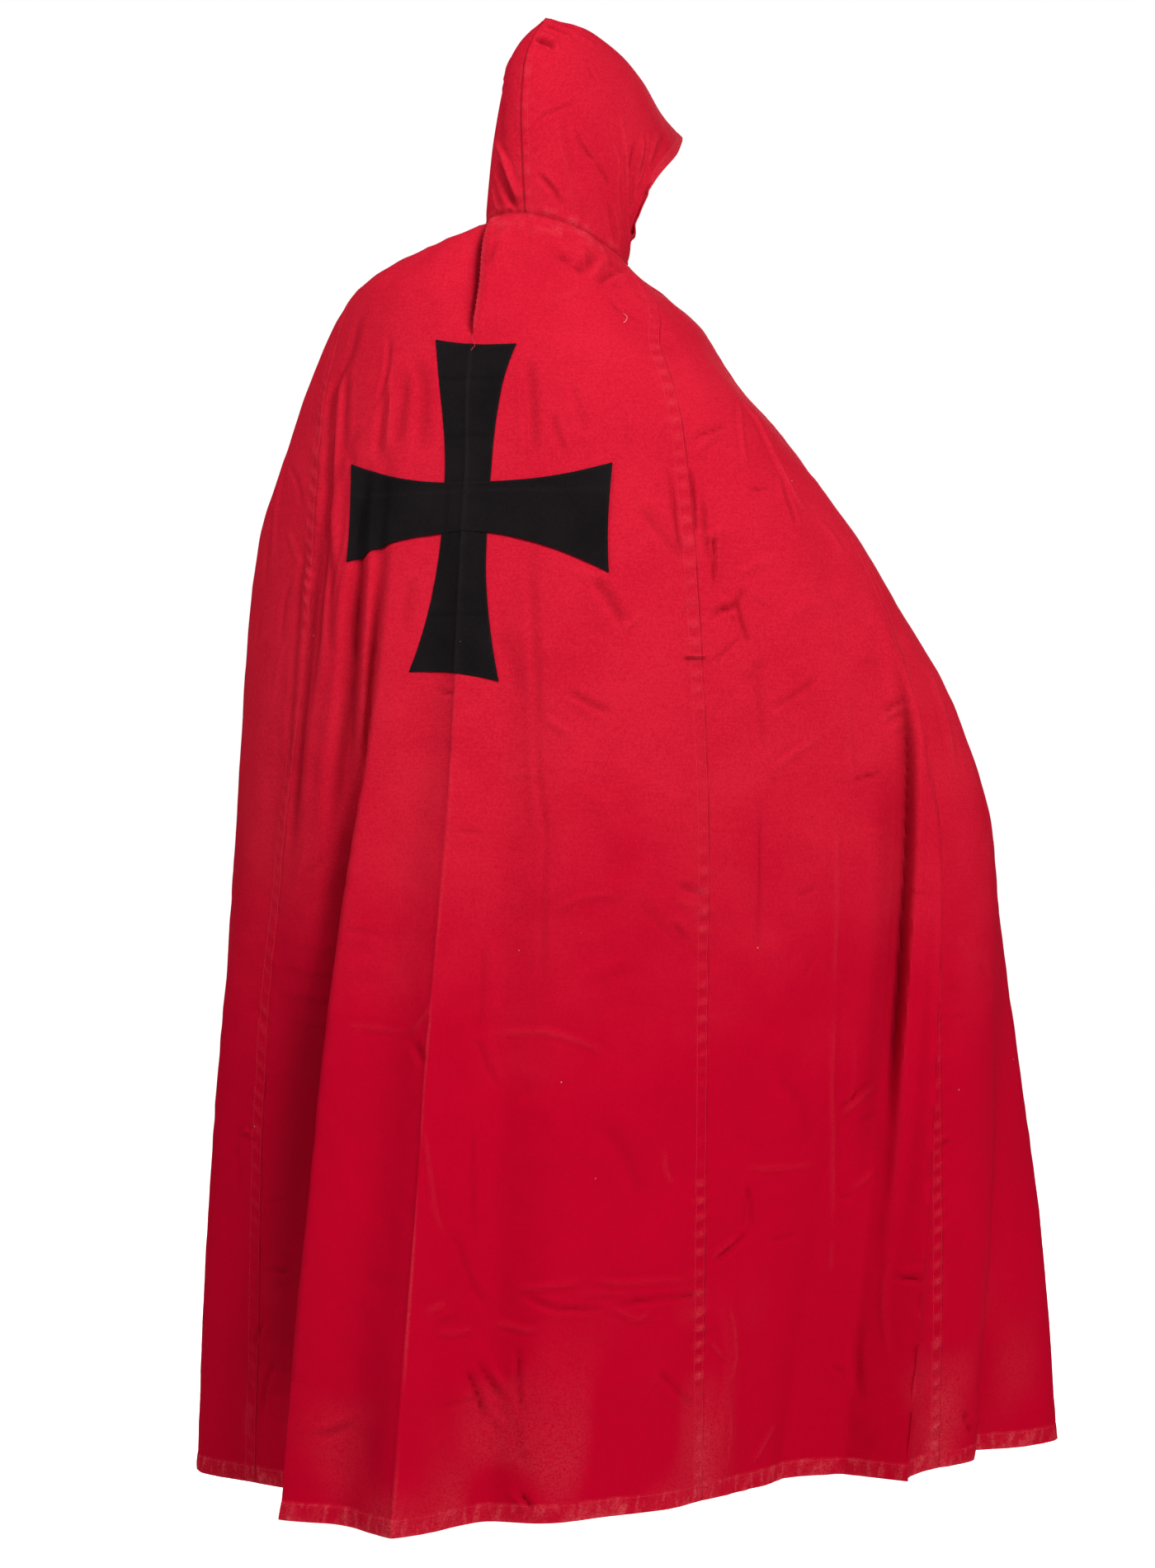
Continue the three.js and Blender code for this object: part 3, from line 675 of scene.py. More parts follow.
def centreTuck(sheet):
    # the right side laps over the left in a hand-sewn tuck down to the cross, then a pressed crease runs
    # on; painted shade darkens the tuck's line, the cloth that dips under it and the side of the crease
    d = sheet["fromTuck"]
    drop = sheet["drop"]
    held = 1 - smooth(drop, tuck["end"] - tuck["endBefore"], tuck["end"] + tuck["endAfter"])
    held = held * (tuck["atNeck"] + (1 - tuck["atNeck"]) * smooth(drop, 0, tuck["neckDrop"]))
    over = smooth(d, -0.8, 0.6) * np.exp(-np.maximum(d, 0) / tuck["overRun"])
    under = -smooth(-d, -0.2, 2.4) * np.exp(-np.maximum(-d - 4, 0) / tuck["underRun"])
    sheet["relief"] += (tuck["over"] * over + tuck["under"] * under) * held
    across = unit(np.gradient(sheet["base"], axis=1))
    slide = tuck["lapFront"] * bump(d + 2.6, 1.5) - tuck["lapBack"] * bump(d - 0.3, 1.7)
    sheet["base"] = sheet["base"] + across * (slide * held)[..., None]
    second = bump(d - tuck["secondAt"] - tuck["secondSlant"] * drop, tuck["secondWidth"]) * held
    rumple = swell(sheet["base"], 16, 61, stretch=0.6) * bump(d - 3, 9) * held
    sheet["relief"] += tuck["rumple"] * rumple - tuck["secondDepth"] * second
    # painted shade along the tuck's line and on the cloth that dips under the flap
    shadeDark(sheet, tuck["lineShade"] * bump(d + 2.0, 2.6) * held)
    beside = bump(d + 5, 9) * (1 - tuck["sideLift"] * smooth(drop, 50, 110))
    shadeDark(sheet, tuck["sideShade"] * beside * held)
    pressed = smooth(drop, tuck["end"] + pressedCrease["from"], tuck["end"] + pressedCrease["full"])
    sheet["relief"] += pressedCrease["ridge"] * bump(d, pressedCrease["ridgeWidth"]) * pressed
    sheet["relief"] += pressedCrease["shoulder"] * bump(d, pressedCrease["shoulderWidth"]) * pressed
    rubbed = smooth(swell(sheet["base"], 26, 64, stretch=3.0), -0.5, 0.4)
    lower = smooth(drop, pressedCrease["lowFrom"], pressedCrease["lowFull"])
    strength = pressedCrease["wear"] + pressedCrease["lowWear"] * lower
    wearPale(sheet, strength * rubbed * bump(d - 0.4, pressedCrease["wearWidth"]) * pressed)
    # painted highlight: a pale band along the edge of the overlapping flap
    wearPale(sheet, tuck["paintedLapHighlight"] * bump(d - 1.4, 1.6) * held)
    # painted shade beside the pressed crease
    shadeDark(sheet, pressedCrease["shade"] * bump(d + 5, 4) * pressed)


def finishSheet(sheet):
    sheet["points"] = (sheet["base"] + sheet["normal"] * sheet["relief"][..., None]) * mm


def deselectAll():
    for item in bpy.context.selected_objects:
        item.select_set(False)


def applyModifier(piece, kind, settings):
    deselectAll()
    piece.select_set(True)
    bpy.context.view_layer.objects.active = piece
    step = piece.modifiers.new(kind.lower(), kind)
    for key, value in settings.items():
        setattr(step, key, value)
    bpy.ops.object.modifier_apply(modifier=step.name)


def sheetPiece(name, sheet, wall, insideShare):
    # a flat grid moved onto the sheet's points and given its wall, with the inside left coarser
    rows, columns = sheet["relief"].shape
    deselectAll()
    bpy.ops.mesh.primitive_grid_add(x_subdivisions=columns - 1, y_subdivisions=rows - 1, size=1)
    piece = bpy.context.object
    piece.name = name
    piece.data.name = name
    piece.data.vertices.foreach_set("co", sheet["points"][::-1].reshape(-1).astype(np.float32))
    corner = np.zeros(len(piece.data.loops), dtype=np.int32)
    piece.data.loops.foreach_get("vertex_index", corner)
    flat = np.stack([sheet["u"], -sheet["v"]], axis=-1)[::-1].reshape(-1, 2) * mm
    piece.data.uv_layers[0].data.foreach_set("uv", flat[corner].reshape(-1).astype(np.float32))
    # fade carries wear, dark carries painted shade
    for key in ("fade", "dark"):
        values = piece.data.attributes.new(key, "FLOAT", "POINT")
        values.data.foreach_set("value", sheet[key][::-1].reshape(-1).astype(np.float32))
    piece.data.update()
    piece.vertex_groups.new(name="inner")
    applyModifier(piece, "SOLIDIFY", {"thickness": wall * mm, "offset": -1.0, "use_even_offset": False,
                                      "shell_vertex_group": "inner"})
    if insideShare < 1:
        applyModifier(piece, "DECIMATE", {"ratio": insideShare, "vertex_group": "inner",
                                          "use_collapse_triangulate": False})
    bpy.ops.object.shade_smooth_by_angle(angle=math.radians(cloth["smoothAngle"]))
    return piece


# each panel's first and last line, its number of columns and their lean
panelPlan = {
    "front_panel_left": ("left front edge", "left side-front seam", 70, 1),
    "side_panel_left": ("left side-front seam", "left back seam", 84, 0.8),
    "back_panel": ("left back seam", "right back seam", 172, 1),
    "side_panel_right": ("right back seam", "right side-front seam", 120, 1.35),
    "front_panel_right": ("right side-front seam", "right front edge", 76, 1),
}
# the felled seams: depths between which each one is drawn up tight, and how much
felled = {
    "left side-front seam": {"seed": 90, "tight": [(420, 700, 0.5), (1100, 1300, 0.4)]},
    "left back seam": {"seed": 100, "tight": [(150, 460, 0.9), (900, 1180, 0.4)]},
    "right back seam": {
        "seed": 110,
        "tight": [(70, 250, 0.6), (270, 560, 0.7), (690, 950, 0.8), (1080, 1340, 0.9)],
    },
    "right side-front seam": {"seed": 120, "tight": [(740, 1000, 0.6), (1040, 1420, 0.7)]},
}

# creases on the cape: half width, height, wear, and the path as (along the hem, depth); they bend every
# panel that they cross, and stand in the order of the panels that carry them
creases = [
    # left front
    (4, -2.2, 0, [(210, 160), (196, 260), (188, 380)]),
    (5, 2.0, 0.15, [(96, 420), (88, 640), (92, 860)]),
    (4, -1.8, 0, [(300, 330), (282, 372), (251, 396)]),
    (3, 1.4, 0.2, [(158, 560), (204, 548), (243, 566)]),
    (4, -2.4, 0, [(356, 700), (330, 742), (318, 800)]),
    (3.5, 1.6, 0.1, [(120, 1010), (168, 990), (206, 1002)]),
    (4, -2.0, 0, [(236, 1130), (262, 1178), (270, 1240)]),
    (3, -1.4, 0, [(60, 1290), (102, 1302), (148, 1296)]),
    (3.4, 1.5, 0.3, [(330, 1260), (336, 1330), (326, 1420)]),
    (4, 2.0, 0.1, [(40, 120), (70, 150), (110, 164)]),
    # left side
    (7, -3, 0, [(867, 340), (860, 419), (865, 518), (880, 655)]),
    (4, -2.4, 0, [(548, 210), (536, 300), (541, 410)]),
    (4, 2.0, 0.2, [(610, 480), (566, 520), (520, 534)]),
    (3.4, -1.6, 0, [(470, 640), (516, 668), (560, 670)]),
    (5, -2.2, 0, [(640, 720), (622, 810), (630, 900)]),
    (3, 1.4, 0.2, [(486, 1010), (530, 1000), (572, 1012)]),
    (4, -2.0, 0, [(680, 1120), (650, 1160), (640, 1220)]),
    (3.4, 1.6, 0.3, [(560, 1250), (552, 1330), (560, 1430)]),
    (5, 1.8, 0.15, [(734, 212), (748, 282), (766, 375)]),
    (5, -2.2, 0, [(720, 251), (747, 333), (753, 415)]),
    (4, -2, 0, [(828, 398), (813, 438), (815, 477)]),
    (3, -1.6, 0, [(766, 252), (830, 288), (853, 319)]),
    (3, 1.4, 0.1, [(799, 336), (833, 366), (860, 390)]),
    (3, 1.4, 0.1, [(842, 459), (816, 497), (813, 546)]),
    (4, -1.6, 0, [(751, 430), (742, 485)]),
    (3, 1.8, 0.1, [(846, 1053), (863, 1054), (881, 1060)]),
    (3, -1.4, 0, [(851, 1045), (843, 1061)]),
    (3, -1.4, 0, [(841, 1063), (849, 1101), (854, 1130)]),
    (4, -1.4, 0, [(868, 1312), (876, 1359)]),
    (4, 1.2, 0, [(860, 1216), (854, 1275)]),
    # back
    (11, -6, 0, [(948, 373), (946, 424), (942, 520), (943, 616), (946, 712)]),
    (9, -7.5, 0, [(968, 262), (958, 320), (955, 404), (954, 453), (954, 501), (954, 549), (957, 597),
                  (964, 660)]),
    (8, 4.5, 0.08, [(1004, 255), (998, 305), (989, 350), (984, 405), (980, 453), (978, 501),
                    (978, 549), (983, 597), (1004, 660)]),
    (6, -3.5, 0, [(909, 151), (911, 204), (911, 260), (908, 303)]),
    (6, -2.5, 0, [(1033, 182), (1011, 228), (1001, 267)]),
    (6, -3, 0, [(894, 301), (904, 363), (910, 423), (911, 501)]),
    (26, -8, 0, [(1003, 640), (1003, 900), (1002, 1100), (1000, 1330)]),
    (55, -5, 0, [(935, 820), (925, 1100), (915, 1400)]),
    (9, -6, 0, [(895, 149), (899, 222), (900, 322), (900, 422), (900, 558)]),
    (9, -5, 0, [(895, 321), (890, 440), (892, 597), (896, 751)]),
    (9, -2.6, 0, [(1118, 165), (1110, 211), (1098, 255)]),
    (6, -3, 0, [(1436, 144), (1449, 218), (1454, 276)]),
    (5, -3.6, 0, [(1491, 33), (1526, 21), (1546, 12)]),
    (4.5, 3.2, 0.3, [(1518, 35), (1557, 22), (1597, 10)]),
    (4.5, -3.6, 0, [(1547, 39), (1591, 24), (1642, 18)]),
    (4.5, 3, 0.2, [(1445, 17), (1487, 16), (1549, 16)]),
    (5, -4, 0, [(1398, 20), (1468, 25), (1518, 30)]),
    (5, -3.6, 0, [(1248, 22), (1247, 34), (1250, 49)]),
    (3, -2.4, 0, [(1671, 276), (1672, 333), (1675, 391)]),
    (3.5, -3.6, 0, [(1380, 1290), (1398, 1320), (1410, 1352)]),
    (3.5, -1.8, 0, [(1018, 122), (1026, 156), (1006, 191), (954, 217)]),
    (2.2, 0.9, 0.25, [(1036, 160), (1055, 204), (1051, 262)]),
    (8, -2.6, 0, [(1140, 149), (1161, 193), (1164, 267)]),
    (9, 3, 0.15, [(903, 155), (906, 256), (905, 365), (904, 471), (906, 597)]),
    (8, -3, 0, [(918, 101), (910, 142), (896, 184), (894, 240)]),
    (7, -1.6, 0, [(948, 226), (920, 249), (936, 276)]),
    (3, 1.3, 0.2, [(1135, 483), (971, 494), (906, 498)]),
    (6, -2.2, 0, [(945, 404), (941, 462), (954, 501)]),
    (3, 1.2, 0.1, [(928, 345), (914, 403), (909, 462)]),
    (7, -1.8, 0, [(1062, 396), (1011, 482), (993, 559)]),
    (8, -1.6, 0, [(1166, 407), (1163, 474)]),
    (4, 2.2, 0.2, [(1448, 76), (1471, 58), (1523, 47)]),
    (4, -2.2, 0, [(1580, 52), (1625, 64), (1657, 65)]),
    (4, -0.8, 0, [(1315, 19), (1362, 48)]),
    (4, -1.4, 0, [(1645, 38), (1692, 58)]),
    (3, -2.2, 0, [(1489, 27), (1518, 19), (1535, 12)]),
    (3, -2.4, 0, [(1584, 13), (1605, 16), (1650, 16)]),
    (3, 1.6, 0.2, [(1538, 28), (1564, 18), (1606, 10)]),
    (3.5, 1.6, 0.2, [(1569, 34), (1620, 24), (1696, 18)]),
    (4, -1.2, 0, [(1544, 46), (1605, 35), (1673, 32)]),
    (2.4, 1.1, 0.3, [(1475, 7), (1517, 9), (1582, 8)]),
    (3, -1.4, 0, [(1326, 13), (1348, 22)]),
    (4, -2.4, 0, [(1248, 9), (1233, 16), (1214, 18)]),
    (3, 1.5, 0.2, [(1270, 9), (1258, 17), (1244, 24)]),
    (5, 0.9, 0, [(1247, 27), (1275, 47)]),
    (2.4, -1.3, 0, [(1423, 170), (1436, 227), (1442, 290)]),
    (4, -2.2, 0, [(1477, 218), (1489, 245), (1501, 269)]),
    (5, -1.3, 0, [(1514, 174), (1532, 216), (1537, 250)]),
    (6, -1, 0, [(1613, 224), (1616, 277)]),
    (6, -3.4, 0, [(1540, 409), (1567, 436), (1590, 468)]),
    (3, 1.4, 0.1, [(1579, 475), (1617, 453)]),
    (4, 1.2, 0, [(1505, 402), (1540, 409)]),
    (6, -2.4, 0, [(1621, 325), (1650, 355), (1683, 394)]),
    (6, 1.4, 0, [(1633, 315), (1665, 345), (1688, 373)]),
    (2.2, -2.4, 0, [(1665, 503), (1692, 504), (1708, 507)]),
    (3, 1, 0, [(1669, 497), (1692, 498)]),
    (3, -1.3, 0, [(1672, 445), (1692, 439)]),
    (4, -2.6, 0, [(1497, 540), (1533, 556), (1568, 567)]),
    (4, 1, 0, [(1501, 548), (1533, 563)]),
    (4, 1.7, 0.1, [(1468, 570), (1485, 580), (1503, 592)]),
    (5, -1.5, 0, [(1448, 378), (1455, 477), (1459, 538), (1458, 598)]),
    (3.2, -1.1, 0, [(1459, 580), (1462, 636), (1471, 712), (1469, 802), (1470, 892)]),
    (5, 0.8, 0.1, [(1448, 580), (1453, 636), (1461, 710)]),
    (2.5, -1.6, 0, [(1224, 536), (1262, 543), (1287, 542)]),
    (4, -1.7, 0, [(1385, 825), (1384, 885), (1377, 928)]),
    (3.5, -1.6, 0, [(1377, 928), (1395, 958), (1414, 984)]),
    (3.5, 1.7, 0.25, [(1298, 1024), (1314, 1081), (1325, 1118), (1341, 1147)]),
    (4, -2, 0, [(1346, 1137), (1365, 1161), (1385, 1199), (1417, 1234)]),
    (4, 2.4, 0.25, [(1254, 924), (1272, 911), (1293, 893)]),
    (5, -1.8, 0, [(1261, 930), (1287, 956)]),
    (2.4, 0.9, 0.2, [(1254, 923), (1196, 919), (1159, 917)]),
    (4, -1, 0, [(1130, 810), (1164, 813), (1190, 818)]),
    (2.4, -0.9, 0, [(1306, 701), (1345, 699), (1387, 702)]),
    (2.4, 0.9, 0.15, [(1404, 637), (1439, 634), (1469, 636)]),
    (4, -3.2, 0, [(1651, 759), (1671, 765), (1692, 772)]),
    (4, 1.8, 0.2, [(1647, 777), (1671, 781), (1692, 784)]),
    (4, 1.6, 0.1, [(1643, 792), (1660, 807), (1679, 828)]),
    (3, -1.4, 0, [(1649, 805), (1662, 822)]),
    (6, -1.2, 0, [(1592, 774), (1628, 803), (1662, 831)]),
    (3.5, 0.9, 0.1, [(1476, 792), (1500, 778), (1525, 771), (1576, 769)]),
    (3, 0.9, 0.25, [(1383, 926), (1435, 923), (1470, 922), (1513, 932), (1557, 947)]),
    (3.4, -1.2, 0, [(1375, 1023), (1380, 1095), (1385, 1158)]),
    (3.2, 1.3, 0.15, [(1446, 1206), (1469, 1204), (1497, 1202), (1530, 1196)]),
    (3.2, 1.2, 0.15, [(1530, 1196), (1583, 1204), (1627, 1203), (1678, 1205)]),
    (3.2, -1.7, 0, [(1451, 1211), (1472, 1221), (1497, 1228), (1562, 1231)]),
    (3.2, -1.8, 0, [(1561, 1230), (1596, 1225), (1628, 1223), (1708, 1227)]),
    (3.2, 1.5, 0.2, [(1561, 1227), (1579, 1237), (1596, 1245), (1616, 1234)]),
    (3, 1, 0.1, [(1507, 1213), (1550, 1213), (1594, 1214)]),
    (3, 1.5, 0.2, [(1416, 1246), (1436, 1246), (1453, 1250), (1476, 1252)]),
    (2.4, 1.4, 0.3, [(1318, 1224), (1331, 1220), (1346, 1216)]),
    (3.2, 1.8, 0.15, [(1333, 1246), (1358, 1251), (1390, 1249)]),
    (4, -1.4, 0, [(1334, 1239), (1369, 1234)]),
    (4, -2.8, 0, [(1396, 1281), (1410, 1302), (1424, 1319), (1436, 1331)]),
    (3.4, 1.6, 0.1, [(1412, 1290), (1424, 1302), (1438, 1318)]),
    (3, -1.4, 0, [(1347, 1326), (1374, 1328), (1404, 1325)]),
    (4, 1.8, 0.2, [(1414, 1338), (1428, 1349), (1440, 1362)]),
    (3.2, -2.2, 0, [(1452, 1267), (1452, 1299), (1453, 1321), (1458, 1341)]),
    (4, -1.5, 0, [(1452, 1350), (1454, 1375), (1466, 1403)]),
    (3, -2.8, 0, [(1456, 1427), (1463, 1435), (1471, 1447)]),
    (4, 1.4, 0, [(1445, 1425), (1454, 1434), (1462, 1446)]),
    (3.4, 1.3, 0.2, [(1165, 1362), (1186, 1355), (1203, 1347), (1220, 1332)]),
    (4, -1.2, 0, [(1173, 1368), (1194, 1362), (1218, 1347)]),
    (3.4, -1.9, 0, [(1623, 1301), (1644, 1323), (1680, 1353)]),
    (4, 1, 0, [(1614, 1306), (1636, 1330), (1664, 1354)]),
    (4, 1.6, 0.3, [(1632, 1055), (1634, 1077), (1646, 1098)]),
    (8, 1, 0, [(1512, 866), (1557, 850), (1592, 839)]),
    (9, -1.2, 0, [(1380, 467), (1420, 504), (1434, 552)]),
    (10, 1.2, 0, [(1512, 645), (1558, 682), (1581, 728)]),
    (10, -1.2, 0, [(1536, 1014), (1582, 1061), (1605, 1117)]),
    (2.8, -1.6, 0, [(890, 1135), (904, 1132), (921, 1124)]),
    (4, 1.8, 0, [(884, 1204), (911, 1202), (1134, 1186)]),
    (3.4, -2, 0, [(884, 1215), (911, 1213), (1133, 1194)]),
    (4, 1.8, 0, [(885, 1222), (912, 1221), (1134, 1204)]),
    (3, -1.4, 0, [(881, 1301), (886, 1283), (896, 1268)]),
    (4, -2.4, 0, [(910, 1312), (898, 1346), (891, 1384)]),
    (4, -1.6, 0, [(912, 750), (923, 741), (938, 731)]),
    (4, 1.4, 0, [(898, 770), (906, 741), (911, 702)]),
    # right side
    (8, -11, 0, [(2000, 470), (1974, 548), (1951, 626), (1936, 712), (1933, 809), (1937, 935),
                 (1936, 1060)]),
    (8, 4.5, 0.1, [(2016, 470), (1991, 548), (1968, 626), (1953, 712), (1950, 809), (1954, 935),
                   (1953, 1080), (1947, 1237)]),
    (20, -3, 0, [(1921, 577), (1906, 741), (1908, 935), (1905, 1129)]),
    (4, -3, 0, [(1708, 309), (1707, 352), (1709, 399)]),
    (3, -2.6, 0, [(1695, 275), (1697, 313), (1695, 362)]),
    (4, 2.2, 0.1, [(1697, 352), (1712, 361), (1730, 351)]),
    (3, -1.3, 0, [(1705, 508), (1726, 488), (1740, 475)]),
    (3.5, -1.8, 0, [(1704, 456), (1728, 443), (1742, 442)]),
    (3.2, -1.7, 0, [(1706, 246), (1723, 238), (1739, 234), (1775, 225)]),
    (3.4, 1.5, 0.15, [(1707, 260), (1724, 248), (1748, 238)]),
    (4, -1, 0, [(1707, 270), (1724, 270)]),
    (3, 1.2, 0.2, [(1865, 185), (1804, 232), (1781, 278)]),
    (2.6, -1.7, 0, [(1768, 300), (1789, 304), (1825, 300)]),
    (3.6, -3.8, 0, [(1863, 293), (1855, 319), (1856, 342)]),
    (4, 1, 0, [(1845, 299), (1839, 324)]),
    (4, 2.8, 0.35, [(1864, 179), (1882, 213), (1873, 256), (1875, 302), (1899, 333)]),
    (5, 1.6, 0.1, [(1899, 333), (1923, 354), (1932, 379)]),
    (2.6, -2.4, 0, [(1717, 346), (1714, 380), (1712, 421)]),
    (3.4, 1.2, 0.1, [(1722, 351), (1718, 409)]),
    (2.4, -2.1, 0, [(1735, 433), (1741, 463), (1749, 490)]),
    (3, 0.8, 0, [(1729, 438), (1735, 464)]),
    (4, -2.8, 0, [(1708, 448), (1730, 442), (1748, 419)]),
    (3, 1.3, 0.1, [(1748, 419), (1762, 429), (1781, 442)]),
    (5, 1.8, 0.1, [(1737, 407), (1770, 391), (1811, 385)]),
    (5, -1.3, 0, [(1756, 497), (1757, 551), (1761, 614)]),
    (3.2, -1.5, 0, [(1771, 560), (1788, 552), (1806, 544), (1847, 520)]),
    (3.2, 1.5, 0.15, [(1772, 632), (1799, 614), (1821, 603), (1843, 590)]),
    (3, -1.2, 0, [(1770, 639), (1776, 645)]),
    (4, 3.4, 0.3, [(1904, 573), (1916, 564), (1941, 558), (1990, 552)]),
    (3.4, -2.4, 0, [(1908, 564), (1933, 554), (1994, 545)]),
    (4, 1.6, 0.1, [(1913, 582), (1947, 576), (1981, 564)]),
    (3, -2.2, 0, [(1874, 643), (1887, 637), (1904, 632)]),
    (3, -1.4, 0, [(1895, 503), (1907, 502), (1923, 508)]),
    (4, 1.1, 0.1, [(1872, 549), (1873, 597), (1874, 654)]),
    (2.4, -1.3, 0, [(1754, 645), (1755, 655), (1754, 716), (1755, 776), (1754, 855)]),
    (2.6, 1.1, 0.3, [(1857, 678), (1858, 731), (1860, 785), (1861, 846), (1864, 891)]),
    (2.6, 1.1, 0.3, [(1864, 891), (1865, 942), (1866, 990), (1873, 1059), (1880, 1176)]),
    (4, -1, 0, [(1871, 894), (1873, 972), (1878, 1050), (1884, 1158)]),
    (2.6, 0.9, 0.2, [(1880, 1176), (1881, 1220)]),
    (3, -1.4, 0, [(1809, 774), (1823, 769), (1836, 763)]),
    (3, -0.9, 0, [(1819, 868), (1827, 859), (1835, 845)]),
    (3, 1.3, 0.1, [(1876, 1044), (1884, 1023), (1889, 999), (1888, 921)]),
    (2.6, -2.2, 0, [(1874, 1027), (1890, 1012), (1899, 1002), (1910, 990)]),
    (2.6, 1.2, 0.25, [(1878, 1032), (1895, 1016), (1911, 999)]),
    (2.6, -1.2, 0, [(1894, 1043), (1908, 1037), (1937, 1029)]),
    (3.2, 1.6, 0.2, [(1895, 1120), (1906, 1110), (1923, 1098)]),
    (2.4, -1.4, 0, [(1883, 1128), (1896, 1129)]),
    (3, -1.2, 0, [(1754, 1108), (1748, 1129), (1746, 1155)]),
    (2.2, 0.8, 0.2, [(1761, 1090), (1778, 1087), (1812, 1086)]),
    (3, -1.8, 0, [(1747, 1101), (1754, 1122), (1760, 1155)]),
    (3, -2.4, 0, [(1708, 1191), (1721, 1183), (1736, 1173), (1756, 1157)]),
    (3, 1.4, 0.15, [(1703, 1184), (1721, 1174), (1737, 1164)]),
    (2.2, 0.9, 0.2, [(1741, 1081), (1772, 1086), (1807, 1087), (1855, 1085)]),
    (3, -1.1, 0, [(1781, 1170), (1805, 1170), (1832, 1167)]),
    (5, -2, 0, [(1918, 1277), (1922, 1316), (1936, 1374)]),
    (4, 1.4, 0.1, [(1952, 1187), (1950, 1255), (1961, 1323)]),
    (2.6, 1.5, 0.45, [(1729, 1238), (1738, 1270), (1742, 1302), (1732, 1337)]),
    (2.6, 1.3, 0.45, [(1732, 1337), (1737, 1377), (1733, 1443)]),
    (3, 1.5, 0.2, [(1702, 1279), (1714, 1292), (1728, 1305)]),
    (4, 1.6, 0.35, [(1774, 1432), (1792, 1411), (1812, 1387)]),
    (3, -1.2, 0, [(1889, 1329), (1896, 1335), (1905, 1343)]),
    (3, -1.9, 0, [(1960, 1227), (1974, 1225), (2000, 1224)]),
    (4, 1.2, 0, [(1960, 1217), (1975, 1214), (2002, 1210)]),
    (9, 1.6, 0, [(1786, 465), (1840, 440), (1881, 430)]),
    (8, -1.2, 0, [(1738, 532), (1771, 503)]),
    (10, 1.2, 0, [(1800, 692), (1830, 730)]),
    (10, -1.2, 0, [(1786, 977), (1825, 1017), (1841, 1066)]),
    (3, 1.2, 0, [(1948, 766), (1962, 768), (1975, 773)]),
    (3, -1, 0, [(2008, 885), (2107, 889), (2127, 894)]),
    (3, -1, 0, [(2008, 919), (2112, 922), (2140, 920)]),
    # right front
    (5, 3, 0.3, [(2128, 498), (2150, 514), (2145, 570), (2130, 635)]),
    (4, -2.2, 0, [(2290, 240), (2300, 340), (2292, 460)]),
    (4, 2.0, 0.15, [(2380, 520), (2340, 560), (2296, 572)]),
    (3.4, -1.6, 0, [(2420, 820), (2376, 846), (2330, 850)]),
    (4, 1.8, 0.1, [(2440, 1060), (2430, 1180), (2438, 1300)]),
    (3.4, -1.8, 0, [(2360, 1180), (2396, 1210), (2420, 1260)]),
    (4, 1.6, 0.15, [(2113, 826), (2124, 841), (2137, 858)]),
    (3, 1.5, 0.1, [(2152, 845), (2163, 861), (2183, 879), (2247, 914)]),
    (3, -1.2, 0, [(2142, 852), (2159, 878)]),
    (3, -1.9, 0, [(2082, 1086), (2089, 1075), (2098, 1064)]),
    (3, 1, 0, [(2084, 1065), (2107, 1066)]),
    (3.4, -3.6, 0, [(2109, 1389), (2116, 1409), (2123, 1427)]),
    (4, 2, 0.1, [(2118, 1389), (2136, 1413), (2219, 1441)]),
    (6, -1.2, 0, [(2192, 605), (2187, 655), (2170, 724)]),
]

sheets = {}
for name, (first, last, columns, lean) in panelPlan.items():
    sheet = panelSheet(first, last, columns, lean, middle=name == "back_panel")
    clothRelief(sheet)
    for seam, distance in ((first, -sheet["fromLeft"]), (last, sheet["fromRight"])):
        if seam in felled:
            felledSeam(sheet, distance, felled[seam])
        else:
            pastTurn = np.abs(distance) - cloth["edgeTurn"]
            turned = 1 - smooth(pastTurn, 0, 2)
            sheet["relief"] += cloth["edgeRise"] * turned - cloth["edgeDitch"] * bump(pastTurn, 1.4)
            wearPale(sheet, cloth["edgeWear"] * turned)
    if name == "back_panel":
        centreTuck(sheet)
    for halfWidth, height, wear, path in creases:
        pressCrease(sheet, onCape(path), halfWidth, height, wear)
    finishSheet(sheet)
    sheets[name] = sheet
print("panel sheets shaped")


hoodPlan = {
    "columns": 136,
    "rows": 144,
    "crowding": 0.10,  # draws the columns together at the back seam and the face edge
    "probe": 0.003,  # the step over which the surface's direction is measured
    "tuckedIn": 5,
    "unevenness": [(90, 1.4), (38, 0.7), (18, 0.25)],
    "unevenStretch": 2.2,
    "unevenFrom": (1, 22),
    "seed": 200,
    "allowance": 8.5,
    "allowanceRise": 0.45,
    "allowanceLeft": 0.4,  # the share of that rise on the left half
    "ditch": 0.6,
    "pucker": 0.8,
    "puckerSize": 22,
    "neckPucker": 1.2,
    "faceTurn": 11,
    "faceRise": 0.5,
    "faceWear": 0.12,
    "seamWear": 0.10,
    "neckWear": 0.2,
    "lineShade": 0.6,
}

